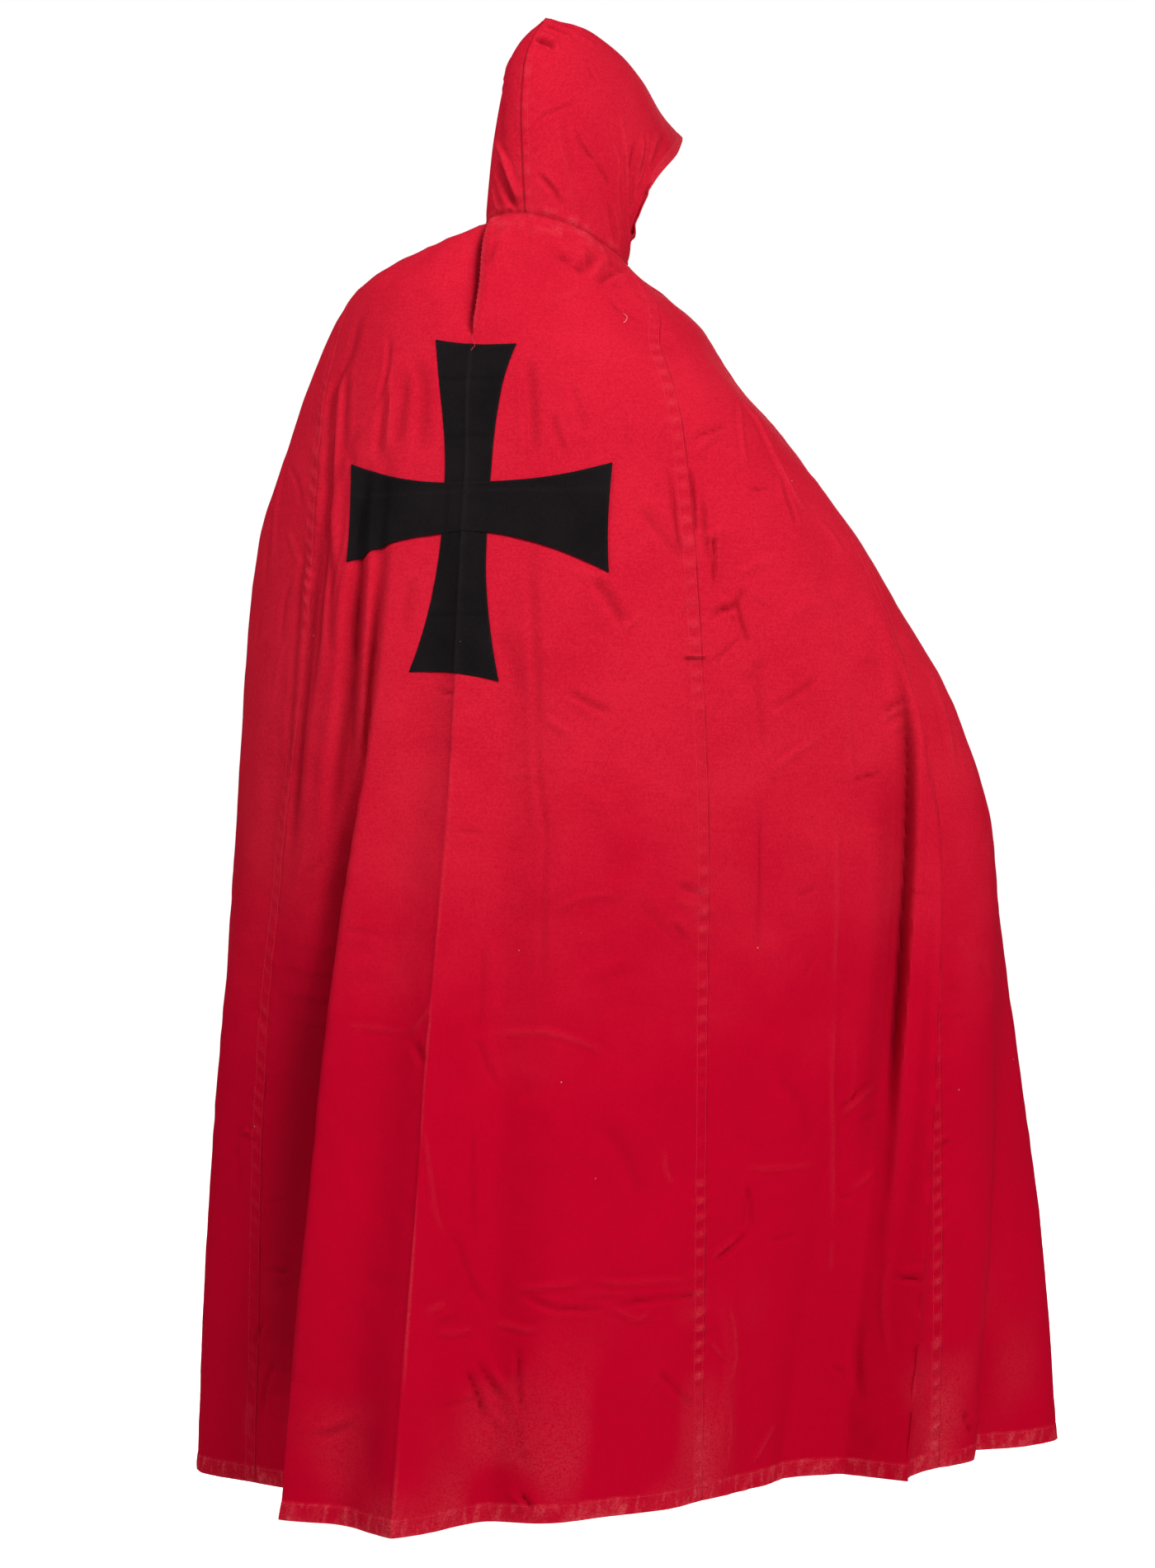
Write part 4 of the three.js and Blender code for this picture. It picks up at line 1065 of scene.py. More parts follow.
# creases on the hood: half width, height, wear, and the path as (back to face, neck to crown) from 0 to 1
hoodCreases = {
    1: [
        (2.6, 2.8, 0.3, [(0.742, 0.082), (0.608, 0.266), (0.573, 0.38), (0.549, 0.438), (0.563, 0.493)]),
        (2.8, 2.6, 0.25, [(0.739, 0.218), (0.706, 0.313), (0.728, 0.464), (0.715, 0.528)]),
        (2.6, 2, 0.2, [(0.748, 0.309), (0.783, 0.429), (0.767, 0.583)]),
        (4, -3.6, 0, [(0.668, 0.164), (0.645, 0.279), (0.662, 0.379), (0.67, 0.455)]),
        (3.2, -2.6, 0, [(0.751, 0.364), (0.769, 0.461), (0.749, 0.541)]),
        (3.4, -2.6, 0, [(0.84, 0.188), (0.699, 0.196)]),
        (2.6, 1.6, 0.25, [(0.587, 0.041), (0.531, 0.096), (0.5, 0.154)]),
        (2.4, 1.4, 0.2, [(0.734, 0.106), (0.559, 0.14), (0.535, 0.203), (0.547, 0.29)]),
        (3, -1.4, 0, [(0.542, 0.026), (0.482, 0.098), (0.457, 0.144)]),
        (2.2, 1.3, 0.2, [(0.491, 0.34), (0.54, 0.294), (0.562, 0.242)]),
        (2.2, -1.9, 0, [(0.27, 0.293), (0.303, 0.26), (0.341, 0.238), (0.38, 0.226)]),
        (2.2, -1.9, 0, [(0.38, 0.226), (0.42, 0.212), (0.458, 0.196), (0.481, 0.179)]),
        (2.6, 0.9, 0.1, [(0.299, 0.274), (0.361, 0.245), (0.431, 0.226)]),
        (3, 1.1, 0.12, [(0.176, 0.333), (0.194, 0.221), (0.229, 0.151), (0.241, 0.09), (0.252, 0.014)]),
        (3.6, -0.8, 0, [(0.216, 0.329), (0.24, 0.215), (0.27, 0.147)]),
        (2.4, -1, 0, [(0.062, 0.277), (0.12, 0.309), (0.211, 0.357), (0.291, 0.398)]),
        (3.2, -1.7, 0, [(0.074, 0.121), (0.13, 0.091), (0.167, 0.065), (0.199, 0.036)]),
        (3.2, 0.9, 0, [(0.097, 0.134), (0.161, 0.103), (0.209, 0.073)]),
        (3.2, -4, 0, [(0.018, 0.647), (0.06, 0.63), (0.099, 0.621), (0.148, 0.601)]),
        (3.4, 1.8, 0.1, [(0.012, 0.705), (0.077, 0.681), (0.149, 0.653)]),
        (3.2, -2.4, 0, [(0.027, 0.797), (0.077, 0.778), (0.132, 0.754), (0.221, 0.737)]),
        (3, -1.8, 0, [(0.133, 0.842), (0.182, 0.85), (0.245, 0.82)]),
        (4, 1.4, 0, [(0.173, 0.741), (0.258, 0.737), (0.344, 0.734)]),
        (3, -0.9, 0, [(0.324, 0.563), (0.354, 0.537), (0.383, 0.53)]),
        (2.6, 1.6, 0.2, [(0.987, 0.417), (0.973, 0.464)]),
        (4, -1, 0, [(0.277, 0.094), (0.311, 0.054), (0.319, 0.017)]),
        (4, 1, 0, [(0.378, 0.09), (0.42, 0.044)]),
        (3.4, 1.2, 0.15, [(0.822, 0.681), (0.833, 0.552), (0.842, 0.47)]),
        (3.4, -1.2, 0, [(0.871, 0.754), (0.888, 0.573), (0.917, 0.478)]),
    ],
    -1: [
        (20, 3, 0, [(0.2, 0.42), (0.16, 0.7), (0.1, 0.98)]),
        (3.2, 2.4, 0.35, [(0.237, 0.264), (0.151, 0.203), (0.1, 0.155), (0.051, 0.061), (0.024, 0.002)]),
        (5.5, -6.5, 0, [(0.171, 0.17), (0.109, 0.102), (0.064, 0.042), (0.036, 0.002)]),
        (2.8, 2.4, 0.35, [(0.206, 0.11), (0.171, 0.056), (0.147, 0.006)]),
        (6, -1.2, 0, [(0.146, 0.38), (0.152, 0.292), (0.123, 0.214)]),
        (2.6, -2, 0, [(0.523, 0.136), (0.076, 0.001), (0.622, 0.19)]),
        (4, 0.8, 0, [(0.169, 0.57), (0.206, 0.501)]),
        (4, -2.4, 0, [(0.78, 0.12), (0.74, 0.26), (0.8, 0.4)]),
        (3.4, 1.8, 0.2, [(0.9, 0.1), (0.86, 0.24), (0.9, 0.38)]),
        (3, -1.6, 0, [(0.62, 0.16), (0.6, 0.34)]),
        (3.4, 1.4, 0.1, [(0.35, 0.5), (0.5, 0.56), (0.66, 0.52)]),
        (3, -1.2, 0, [(0.3, 0.72), (0.42, 0.66)]),
    ],
}


def arcAlong(grid, axis):
    steps = np.linalg.norm(np.diff(grid, axis=axis), axis=-1)
    start = np.zeros_like(np.take(steps, [0], axis=axis))
    return np.concatenate([start, np.cumsum(steps, axis=axis)], axis=axis)


def hoodSheet(side):
    surface = hoodSurface(side)
    u = np.linspace(0, 1, hoodPlan["columns"])
    u = u - hoodPlan["crowding"] * np.sin(2 * math.pi * u) / (2 * math.pi)
    v = np.linspace(1, 0, hoodPlan["rows"])
    if side < 0:
        u = u[::-1]
    uGrid, vGrid = np.meshgrid(u, v)
    step = hoodPlan["probe"]
    base = surface(uGrid, vGrid)
    across = surface(np.minimum(uGrid + step, 1), vGrid) - surface(np.maximum(uGrid - step, 0), vGrid)
    down = surface(uGrid, np.maximum(vGrid - step, 0)) - surface(uGrid, np.minimum(vGrid + step, 1))
    normal = unit(np.cross(down, across * side))
    seam = (uGrid < 1e-6) | (vGrid > 1 - 1e-6)
    flattened = unit(normal - np.sum(normal * hoodRight, axis=-1, keepdims=True) * hoodRight)
    normal[seam] = flattened[seam]
    sheet = blankSheet(base, normal)
    sheet["u"] = arcAlong(base, 1)
    sheet["v"] = arcAlong(base, 0)
    fromEnd = sheet["u"][:, -1:] - sheet["u"]
    sheet["fromBack"], sheet["fromFace"] = (sheet["u"], fromEnd) if side > 0 else (fromEnd, sheet["u"])
    sheet["fromCrown"] = sheet["v"]
    sheet["fromNeck"] = sheet["v"][-1:] - sheet["v"]
    fromNeck = sheet["fromNeck"]
    fromFace = sheet["fromFace"]
    fromSeam = np.minimum(sheet["fromBack"], sheet["fromCrown"])
    free = smooth(np.minimum(fromNeck, fromSeam), *hoodPlan["unevenFrom"])
    for i, (size, height) in enumerate(hoodPlan["unevenness"]):
        uneven = swell(base, size, hoodPlan["seed"] + i, stretch=hoodPlan["unevenStretch"])
        sheet["relief"] += height * uneven * free
    allowance = hoodPlan["allowance"]
    band = (1 - smooth(fromSeam, allowance, 11)) * (1 if side > 0 else hoodPlan["allowanceLeft"])
    puckers = swell(base, hoodPlan["puckerSize"], hoodPlan["seed"] + 10, stretch=0.36)
    sheet["relief"] += hoodPlan["allowanceRise"] * band - hoodPlan["ditch"] * bump(fromSeam, 1.3)
    sheet["relief"] -= 0.3 * bump(fromSeam - allowance, 1.5)
    sheet["relief"] += hoodPlan["pucker"] * puckers * bump(fromSeam - 4.5, 7) * smooth(fromSeam, 0, 3)
    neckPucker = swell(base, neckEdge["puckerSize"], neckEdge["puckerSeed"])
    sheet["relief"] += hoodPlan["neckPucker"] * neckPucker * bump(fromNeck, 11)
    sheet["relief"] += 0.6 * bump(fromNeck - 5, 3) - 0.5 * bump(fromNeck, 2.2)
    turned = 1 - smooth(fromFace, hoodPlan["faceTurn"], hoodPlan["faceTurn"] + 2)
    sheet["relief"] += hoodPlan["faceRise"] * turned - 0.4 * bump(fromFace - hoodPlan["faceTurn"], 1.5)
    worn = hoodPlan["seamWear"] * band * smooth(puckers, 0.0, 0.8) + hoodPlan["faceWear"] * turned
    worn += hoodPlan["neckWear"] * smooth(neckPucker, -0.1, 0.6) * bump(fromNeck - 4, 5)
    wearPale(sheet, worn)
    # painted shade along the hood's seam lines and its neck line
    sheet["dark"] = hoodPlan["lineShade"] * (bump(fromSeam, 1.5) + bump(fromNeck, 1.6))
    for halfWidth, height, wear, path in hoodCreases[side]:
        uv = np.array(path, float)
        pressCrease(sheet, surface(uv[:, 0], uv[:, 1]), halfWidth, height, wear)
    sheet["base"][-1, :, 2] -= hoodPlan["tuckedIn"]
    finishSheet(sheet)
    return sheet


sheets["hood_right"] = hoodSheet(1)
sheets["hood_left"] = hoodSheet(-1)
print("hood sheets shaped")


crossPlan = {
    "centreDrop": 327,
    "barLeft": 160,
    "barRight": 172,
    "height": 392,
    "waist": 58,
    "barEnd": 118,
    "upperEnd": 102,
    "lowerEnd": 112,
    "wall": 0.8,
    "step": 2.4,
    "armLift": 1.3,
    "barLift": 2.3,  # the bar crosses over its two arms
    "underBar": 6,  # how far each arm runs on below the bar
    "armHollow": 4,
    "barHollow": 3,
    "upperLean": 5,  # the arms were sewn on a little out of true
    "lowerLean": -7,
    "lowerTilt": 0.11,
    "barDroop": 14,
    "barRightWider": 5,
    "fine": (0.22, 14),  # height and size of the unevenness
    "coarse": (0.45, 40),
    "deepest": -0.55,
    "seed": 300,
    "edgeDown": 0.4,
    "edgeRoll": 0.3,
    "edgeWear": 0.08,
    "pressedShade": 0.6,
}
# lines pressed into the cross pieces: across or down, where, half width, height, wear
crossPressed = {
    "cross_upper_arm": [
        ("down", 0, 2.6, 0.9, 0.22),
        ("across", 175, 2.4, -0.5, 0),
        ("across", 243, 2.4, -0.45, 0),
        ("down", -14, 7, -0.9, 0),
        ("down", 19, 6, -0.7, 0),
    ],
    "cross_bar": [
        ("down", 0, 2.6, 0.8, 0.18),
        ("across", 309, 2.6, 0.35, 0.10),
        ("down", -24, 3, -0.8, 0),
        ("down", 66, 5, 0.4, 0),
        ("down", -88, 6, -0.7, 0),
    ],
    "cross_lower_arm": [
        ("down", 0, 2.6, 0.9, 0.22),
        ("across", 452, 3, -0.35, 0),
        ("down", 22, 6, -0.6, 0),
    ],
}
backSheet = sheets["back_panel"]


def onBack(distance, drop, lift=0.0):
    # points at distances from the tuck line and at depths, on the finished back
    distance = np.asarray(distance, float)
    drop = np.asarray(drop, float)
    shape = np.broadcast(distance, drop).shape
    distance = np.broadcast_to(distance, shape).reshape(-1)
    drop = np.broadcast_to(drop, shape).reshape(-1)
    places = backSheet["points"] / mm + backSheet["normal"] * lift
    out = np.zeros((len(drop), 3))
    upper = np.clip(np.searchsorted(rowDrops, drop) - 1, 0, len(rowDrops) - 2)
    part = (drop - rowDrops[upper]) / (rowDrops[upper + 1] - rowDrops[upper])
    for row in np.unique(upper):
        pick = upper == row
        for k in range(3):
            high = np.interp(distance[pick], backSheet["fromTuck"][row], places[row, :, k])
            low = np.interp(distance[pick], backSheet["fromTuck"][row + 1], places[row + 1, :, k])
            out[pick, k] = high + (low - high) * part[pick]
    return out.reshape(*shape, 3)


def flareAt(t, endWidth):
    return (crossPlan["waist"] + (endWidth - crossPlan["waist"]) * t * t) / 2


def crossSheet(name, plan, lift):
    # plan gives distances from the crease and depths over a grid
    distance, drop = plan
    rows, columns = distance.shape
    across = np.minimum(np.arange(columns), np.arange(columns)[::-1])
    down = np.minimum(np.arange(rows), np.arange(rows)[::-1])
    edge = np.minimum(across[None, :], down[:, None])
    base = onBack(distance, drop, lift)
    sheet = blankSheet(base, unit(onBack(distance, drop, lift + 1) - base))
    for i, (height, size) in enumerate((crossPlan["fine"], crossPlan["coarse"])):
        sheet["relief"] += height * swell(base, size, crossPlan["seed"] + i)
    sheet["relief"] += crossPlan["edgeRoll"] * bump(edge - 2, 1.2) - crossPlan["edgeDown"] * (edge == 0)
    wearPale(sheet, crossPlan["edgeWear"] * (edge == 1))
    for way, where, halfWidth, height, wear in crossPressed[name]:
        line = bump((distance if way == "down" else drop) - where, halfWidth)
        sheet["relief"] += height * line
        wearPale(sheet, wear * line)
        # painted shade in the narrow pressed grooves
        if height < 0 and halfWidth < 4:
            shadeDark(sheet, crossPlan["pressedShade"] * line)
    sheet["relief"] = np.maximum(sheet["relief"], crossPlan["deepest"])
    sheet["u"] = distance
    sheet["v"] = drop
    finishSheet(sheet)
    return sheet


def armPlan(direction, endWidth):
    start = crossPlan["waist"] / 2 - crossPlan["underBar"]
    end = crossPlan["height"] / 2
    rows = int((end - start) / crossPlan["step"])
    columns = int(endWidth / crossPlan["step"])
    t = np.linspace(0, 1, rows)
    if direction < 0:
        t = t[::-1]
    s = np.linspace(-1, 1, columns)
    distance = flareAt(t, endWidth)[:, None] * s[None, :]
    hollow = crossPlan["armHollow"] * (1 - s ** 2)[None, :] * (t ** 6)[:, None]
    length = start + (end - start) * t[:, None] - hollow
    drop = crossPlan["centreDrop"] + direction * length
    if direction > 0:
        drop = drop + crossPlan["lowerTilt"] * distance * t[:, None]
    distance = distance + crossPlan["lowerLean" if direction > 0 else "upperLean"] * t[:, None]
    return distance, drop


def barPlan():
    columns = int((crossPlan["barLeft"] + crossPlan["barRight"]) / crossPlan["step"])
    rows = int(crossPlan["barEnd"] / crossPlan["step"])
    s = np.linspace(-1, 1, columns)
    q = np.linspace(-1, 1, rows)
    right = np.maximum(s, 0)
    half = flareAt(s, crossPlan["barEnd"]) + crossPlan["barRightWider"] * right ** 2
    droop = crossPlan["barDroop"] * right ** 1.5
    drop = crossPlan["centreDrop"] + q[:, None] * half[None, :] + droop[None, :]
    hollow = crossPlan["barHollow"] * (1 - q ** 2)[:, None] * (np.abs(s) ** 6)[None, :]
    reach = np.where(s < 0, crossPlan["barLeft"], crossPlan["barRight"])
    return (s * reach)[None, :] - np.sign(s)[None, :] * hollow, drop


armLift = crossPlan["armLift"]
sheets["cross_upper_arm"] = crossSheet("cross_upper_arm", armPlan(-1, crossPlan["upperEnd"]), armLift)
sheets["cross_lower_arm"] = crossSheet("cross_lower_arm", armPlan(1, crossPlan["lowerEnd"]), armLift)
sheets["cross_bar"] = crossSheet("cross_bar", barPlan(), crossPlan["barLift"])
print("cross sheets shaped")


class Value:
    # wraps one socket so that shader maths reads as plain expressions
    def __init__(self, surface, socket):
        self.surface = surface
        self.socket = socket

    def maths(self, operation, first, second):
        return self.surface.node("ShaderNodeMath", {"operation": operation}, {0: first, 1: second})

    def __add__(self, other):
        return self.maths("ADD", self, other)

    def __radd__(self, other):
        return self.maths("ADD", other, self)

    def __sub__(self, other):
        return self.maths("SUBTRACT", self, other)

    def __rsub__(self, other):
        return self.maths("SUBTRACT", other, self)

    def __mul__(self, other):
        return self.maths("MULTIPLY", self, other)

    def __rmul__(self, other):
        return self.maths("MULTIPLY", other, self)

    def __gt__(self, other):
        return self.maths("GREATER_THAN", self, other)


class Surface:
    def __init__(self, name):
        self.material = bpy.data.materials.new(name)
        self.material.use_nodes = True
        self.tree = self.material.node_tree
        self.shader = self.tree.nodes["Principled BSDF"]

    def fill(self, socket, value):
        if isinstance(value, Value):
            self.tree.links.new(value.socket, socket)
        else:
            socket.default_value = value

    def node(self, kind, settings=None, sockets=None, out=0):
        made = self.tree.nodes.new(kind)
        for key, value in (settings or {}).items():
            setattr(made, key, value)
        for key, value in (sockets or {}).items():
            self.fill(made.inputs[key], value)
        return Value(self, made.outputs[out])

    def place(self):
        return self.node("ShaderNodeTexCoord", None, None, out=3)

    def attribute(self, name):
        return self.node("ShaderNodeAttribute", {"attribute_name": name}, None, out=2)

    def part(self, vector, axis):
        return self.node("ShaderNodeSeparateXYZ", None, {0: vector}, out=axis)

    def between(self, value, low, high):
        return self.node("ShaderNodeMapRange", {"interpolation_type": "SMOOTHSTEP"},
                         {"Value": value, "From Min": low, "From Max": high})

    def blend(self, factor, first, second):
        return self.node("ShaderNodeMix", {"data_type": "RGBA"}, {0: factor, 6: first, 7: second}, out=2)

    def noise(self, vector, size, detail=2.0, spread=(1, 1, 1)):
        placed = self.node("ShaderNodeVectorMath", {"operation": "MULTIPLY"}, {0: vector, 1: spread})
        return self.node("ShaderNodeTexNoise", None, {"Vector": placed, "Scale": size, "Detail": detail})

    def lint(self, place, perMetre, threshold):
        # a small soft dot in each of the few cells that are picked
        cells = {"Vector": place, "Scale": perMetre}
        specks = self.node("ShaderNodeTexVoronoi", None, cells, out=0)
        chosen = self.node("ShaderNodeTexVoronoi", None, cells, out=1)
        picked = self.node("ShaderNodeSeparateColor", None, {0: chosen})
        return (1 - self.between(specks, 0.03, 0.055)) * (picked > threshold)

    def relief(self, distance, height):
        return self.node("ShaderNodeBump", None, {"Strength": 1.0, "Distance": distance, "Height": height})

    def finish(self, settings):
        for key, value in settings.items():
            self.fill(self.shader.inputs[key], value)
        return self.material


# how often each noise repeats in a metre: across the cloth, down it
weave = {
    "warp": (1300, 150, 1),
    "weft": (120, 1400, 1),
    "slub": (22, 520, 1),
    "streaks": (52, 8, 1),
    "ripple": (120, 38, 1),
}
cottonLooks = {
    "upper": (0.490, 0.0115, 0.0280, 1),  # painted light from above: the shoulders and hood are coloured lighter with a pale sheen, the lower cloth darker
    "lower": (0.435, 0.0003, 0.0170, 1),
    "turn": (-1.02, -0.55),  # the heights between which the one becomes the other
    "deep": (0.360, 0.0012, 0.0140, 1),
    "faded": (0.620, 0.085, 0.100, 1),
    "lint": (0.80, 0.50, 0.48, 1),
    "paintedShadeColour": (0.110, 0.0010, 0.0040, 1),
    "weaveBump": 0.00016,
    "hemBand": (1.4385, 1.4425),  # metres down the cloth where the hem's turning starts
    "cloudySize": 9,
    "grainSize": 380,
    "patchySize": 62,
    "crumpleSize": 26,
    "rubbedSize": 420,
    "rippleWear": 0.22,
    "lintSize": 60.0,
    "lintFrom": 0.985,
    "lintShare": 0.45,
    "roughness": 0.84,
    "specular": 0.015,
}


def makeRedCotton():
    s = Surface("red cotton")
    place = s.place()
    weaveUv = s.node("ShaderNodeUVMap", {"uv_map": "UVMap"}, None)
    warp = s.noise(weaveUv, 1, 2, weave["warp"])
    weft = s.noise(weaveUv, 1, 2, weave["weft"])
    slub = s.noise(weaveUv, 1, 3, weave["slub"])
    streaks = s.noise(weaveUv, 1, 3, weave["streaks"])
    ripple = s.noise(weaveUv, 1, 1, weave["ripple"])
    cloudy = s.noise(place, cottonLooks["cloudySize"], 3)
    grain = s.noise(place, cottonLooks["grainSize"], 3)
    patchy = s.noise(place, cottonLooks["patchySize"], 3)
    crumple = s.noise(place, cottonLooks["crumpleSize"], 2, (1, 1, 0.6))
    thread = warp * 0.4 + weft * 0.35 + slub * 0.25
    # painted light from above: the red turns from the darker lower colour to the lighter, sheen-paled upper
    # one with height
    paintedTopLight = s.between(s.part(place, 2) + cloudy * 0.3 - 0.15, *cottonLooks["turn"])
    even = s.blend(paintedTopLight, cottonLooks["lower"], cottonLooks["upper"])
    shade = s.between(thread * 0.45 + grain * 0.35 + cloudy * 0.2, 0.40, 0.60)
    colour = s.blend(0.36 + shade * 0.56, cottonLooks["deep"], even)
    hemward = s.between(s.part(weaveUv, 1) * -1, *cottonLooks["hemBand"])
    rubbed = s.between(s.noise(place, cottonLooks["rubbedSize"], 3) * 0.6 + weft * 0.4, 0.36, 0.60)
    worn = s.attribute("fade") + hemward * s.between(ripple, 0.50, 0.66) * cottonLooks["rippleWear"]
    colour = s.blend(worn * (0.1 + rubbed * 1.1), colour, cottonLooks["faded"])
    lint = s.lint(place, cottonLooks["lintSize"], cottonLooks["lintFrom"])
    colour = s.blend(lint * cottonLooks["lintShare"], colour, cottonLooks["lint"])
    # painted shade: the dark attribute darkens the red towards the shade colour
    colour = s.blend(s.attribute("dark"), colour, cottonLooks["paintedShadeColour"])
    height = thread + grain * 0.5 + patchy * 0.7 + crumple * 2.2 + hemward * ripple * 8 + streaks * 1.6
    return s.finish({
        "Base Color": colour,
        "Roughness": cottonLooks["roughness"] + thread * 0.12,
        "Normal": s.relief(cottonLooks["weaveBump"], height),
        "Specular IOR Level": cottonLooks["specular"],
    })


blackLooks = {
    "base": (0.0074, 0.0056, 0.0064, 1),
    "deep": (0.0036, 0.0026, 0.0032, 1),
    "faded": (0.022, 0.016, 0.018, 1),
    "lint": (0.25, 0.20, 0.20, 1),
    "weaveBump": 0.0002,
    "cloudySize": 14,
    "rubbedSize": 260,
    "lintSize": 80.0,
    "lintFrom": 0.965,
    "lintShare": 0.5,
    "roughness": 0.82,
    "specular": 0.05,
}


def makeBlackCotton():
    s = Surface("black cotton")
    place = s.place()
    weaveUv = s.node("ShaderNodeUVMap", {"uv_map": "UVMap"}, None)
    thread = s.noise(weaveUv, 1, 2, weave["warp"]) * 0.5 + s.noise(weaveUv, 1, 2, weave["weft"]) * 0.5
    cloudy = s.noise(place, blackLooks["cloudySize"], 3)
    shade = s.between(thread * 0.6 + cloudy * 0.4, 0.36, 0.62)
    # painted shade: the dark attribute darkens the black towards its deep colour
    colour = s.blend(shade * (1 - s.attribute("dark")), blackLooks["deep"], blackLooks["base"])
    rubbed = 0.4 + s.noise(place, blackLooks["rubbedSize"], 2) * 0.9
    colour = s.blend(s.attribute("fade") * rubbed, colour, blackLooks["faded"])
    lint = s.lint(place, blackLooks["lintSize"], blackLooks["lintFrom"])
    colour = s.blend(lint * blackLooks["lintShare"], colour, blackLooks["lint"])
    return s.finish({
        "Base Color": colour,
        "Roughness": blackLooks["roughness"] + thread * 0.12,
        "Normal": s.relief(blackLooks["weaveBump"], thread + cloudy * 0.5),
        "Specular IOR Level": blackLooks["specular"],
    })


threadLooks = {
    "red": (0.560, 0.020, 0.045, 1),
    "pale": (0.62, 0.22, 0.22, 1),
    "black": (0.012, 0.009, 0.010, 1),
    "fuzzSize": 700,
}
wireLooks = {"colour": (0.50, 0.50, 0.51, 1), "drawnSize": 900, "roughness": 0.24}


def makeThread(kind):
    s = Surface(kind + " thread")
    return s.finish({
        "Base Color": threadLooks[kind],
        "Roughness": 0.72 + s.noise(s.place(), threadLooks["fuzzSize"], 2) * 0.2,
        "Specular IOR Level": 0.1,
    })


def makeSteelWire():
    s = Surface("steel wire")
    return s.finish({
        "Base Color": wireLooks["colour"],
        "Metallic": 1.0,
        "Roughness": wireLooks["roughness"] + s.noise(s.place(), wireLooks["drawnSize"], 2) * 0.22,
    })


redCotton = makeRedCotton()
blackCotton = makeBlackCotton()
steelWire = makeSteelWire()
for wireName in ("neck_hook", "neck_eye"):
    for slot in bpy.data.objects[wireName].material_slots:
        slot.material = steelWire
print("materials made")


# each sheet becomes a cloth piece with its wall and its cotton, and its CAD part is hidden
for name, sheet in sheets.items():
    black = name.startswith("cross")
    wall, insideShare = (crossPlan["wall"], 1.0) if black else (cloth["wall"], cloth["insideShare"])
    piece = sheetPiece(name + "_cloth", sheet, wall, insideShare)
    piece.data.materials.clear()
    piece.data.materials.append(blackCotton if black else redCotton)
    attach(piece, "root")
    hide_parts(name)
print("cloth pieces made")

# sewing: length of a stitch, distance from one to the next, width and height, all in millimetres
sewing = {
    "machine": (2.1, 3.0, 0.55, 0.45),
    "hand": (3.4, 7.5, 0.7, 0.6),
    "cross": (1.6, 3.4, 0.5, 0.35),
    "loose": (1.5, 1.0, 0.6, 0.6),
}
# where the rows of stitches run, and how they lie
sewn = {
    "overHem": form["hemTurn"] - 2,
    "underNeck": 5,
    "frontEdge": 9,
    "seam": [1.8, felling["width"] - 1.6],
    "hoodNeck": 4,
    "hoodFace": 11,
    "hoodSeam": 8.5,
    "besideTuck": 1.0,
    "tuckRows": 32,
    "tuckSlant": 0.9,
    "scatter": 0.18,
    "lift": 0.12,
}


def lineDown(sheet, key, distance):
    # the line at one distance from a side edge, a point for each row
    points = sheet["points"] / mm
    placed = []
    for row in range(points.shape[0]):
        order = np.argsort(sheet[key][row])
        known = sheet[key][row][order]
        both = np.concatenate([points[row], sheet["normal"][row]], axis=1)[order]
        if known[0] <= distance <= known[-1]:
            placed.append([np.interp(distance, known, both[:, k]) for k in range(6)])
    return np.array(placed)


def lineAcross(sheet, key, distance):
    # the line at one distance from the top or bottom edge, a point for each column
    turned = {part: np.swapaxes(sheet[part], 0, 1) for part in ("points", "normal", key)}
    return lineDown(turned, key, distance)


def stitchesAlong(line, kind, turn=0.0):
    # centre, direction and normal of each stitch; turn slants them across the line
    length, pitch = sewing[kind][:2]
    steps = np.linalg.norm(np.diff(line[:, :3], axis=0), axis=1)
    at = np.concatenate([[0], np.cumsum(steps)])
    middles = np.arange(pitch / 2, at[-1] - pitch / 2, pitch)
    scatter = np.random.default_rng(len(middles)).uniform(-sewn["scatter"], sewn["scatter"], len(middles))
    middles = middles + scatter * pitch
    centre = np.stack([np.interp(middles, at, line[:, k]) for k in range(6)], axis=1)
    ahead = np.stack([np.interp(middles + length / 2, at, line[:, k]) for k in range(3)], axis=1)
    behind = np.stack([np.interp(middles - length / 2, at, line[:, k]) for k in range(3)], axis=1)
    normal = unit(centre[:, 3:])
    along = unit(ahead - behind)
    side = unit(np.cross(normal, along))
    along = unit(along * math.cos(turn) + side * math.sin(turn))
    side = unit(np.cross(normal, along))
    sizes = np.tile(np.array(sewing[kind])[[0, 2, 3]] / 2, (len(middles), 1))
    return centre[:, :3] + normal * sewn["lift"], along, side, normal, sizes


def stitchPiece(name, runs, look):
    # one small six-sided bar, repeated, then each moved to its own stitch
    centre, along, side, normal, sizes = [np.concatenate(parts) for parts in zip(*runs)]
    deselectAll()
    bpy.ops.mesh.primitive_cylinder_add(vertices=6, radius=1, depth=2, end_fill_type="NGON")
    piece = bpy.context.object
    piece.name = name
    piece.data.name = name
    bar = np.zeros(len(piece.data.vertices) * 3)
    piece.data.vertices.foreach_get("co", bar)
    bar = bar.reshape(1, -1, 3)
    applyModifier(piece, "ARRAY", {"count": len(centre), "use_relative_offset": False,
                                   "use_constant_offset": True})
    placed = centre[:, None, :] + (sizes[:, None, 0:1] * bar[..., 2:3]) * along[:, None, :]
    placed = placed + (sizes[:, None, 1:2] * bar[..., 0:1]) * side[:, None, :]
    placed = placed + (sizes[:, None, 2:3] * bar[..., 1:2]) * normal[:, None, :]
    piece.data.vertices.foreach_set("co", (placed * mm).reshape(-1).astype(np.float32))
    piece.data.update()
    piece.data.materials.clear()
    piece.data.materials.append(look)
    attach(piece, "root")


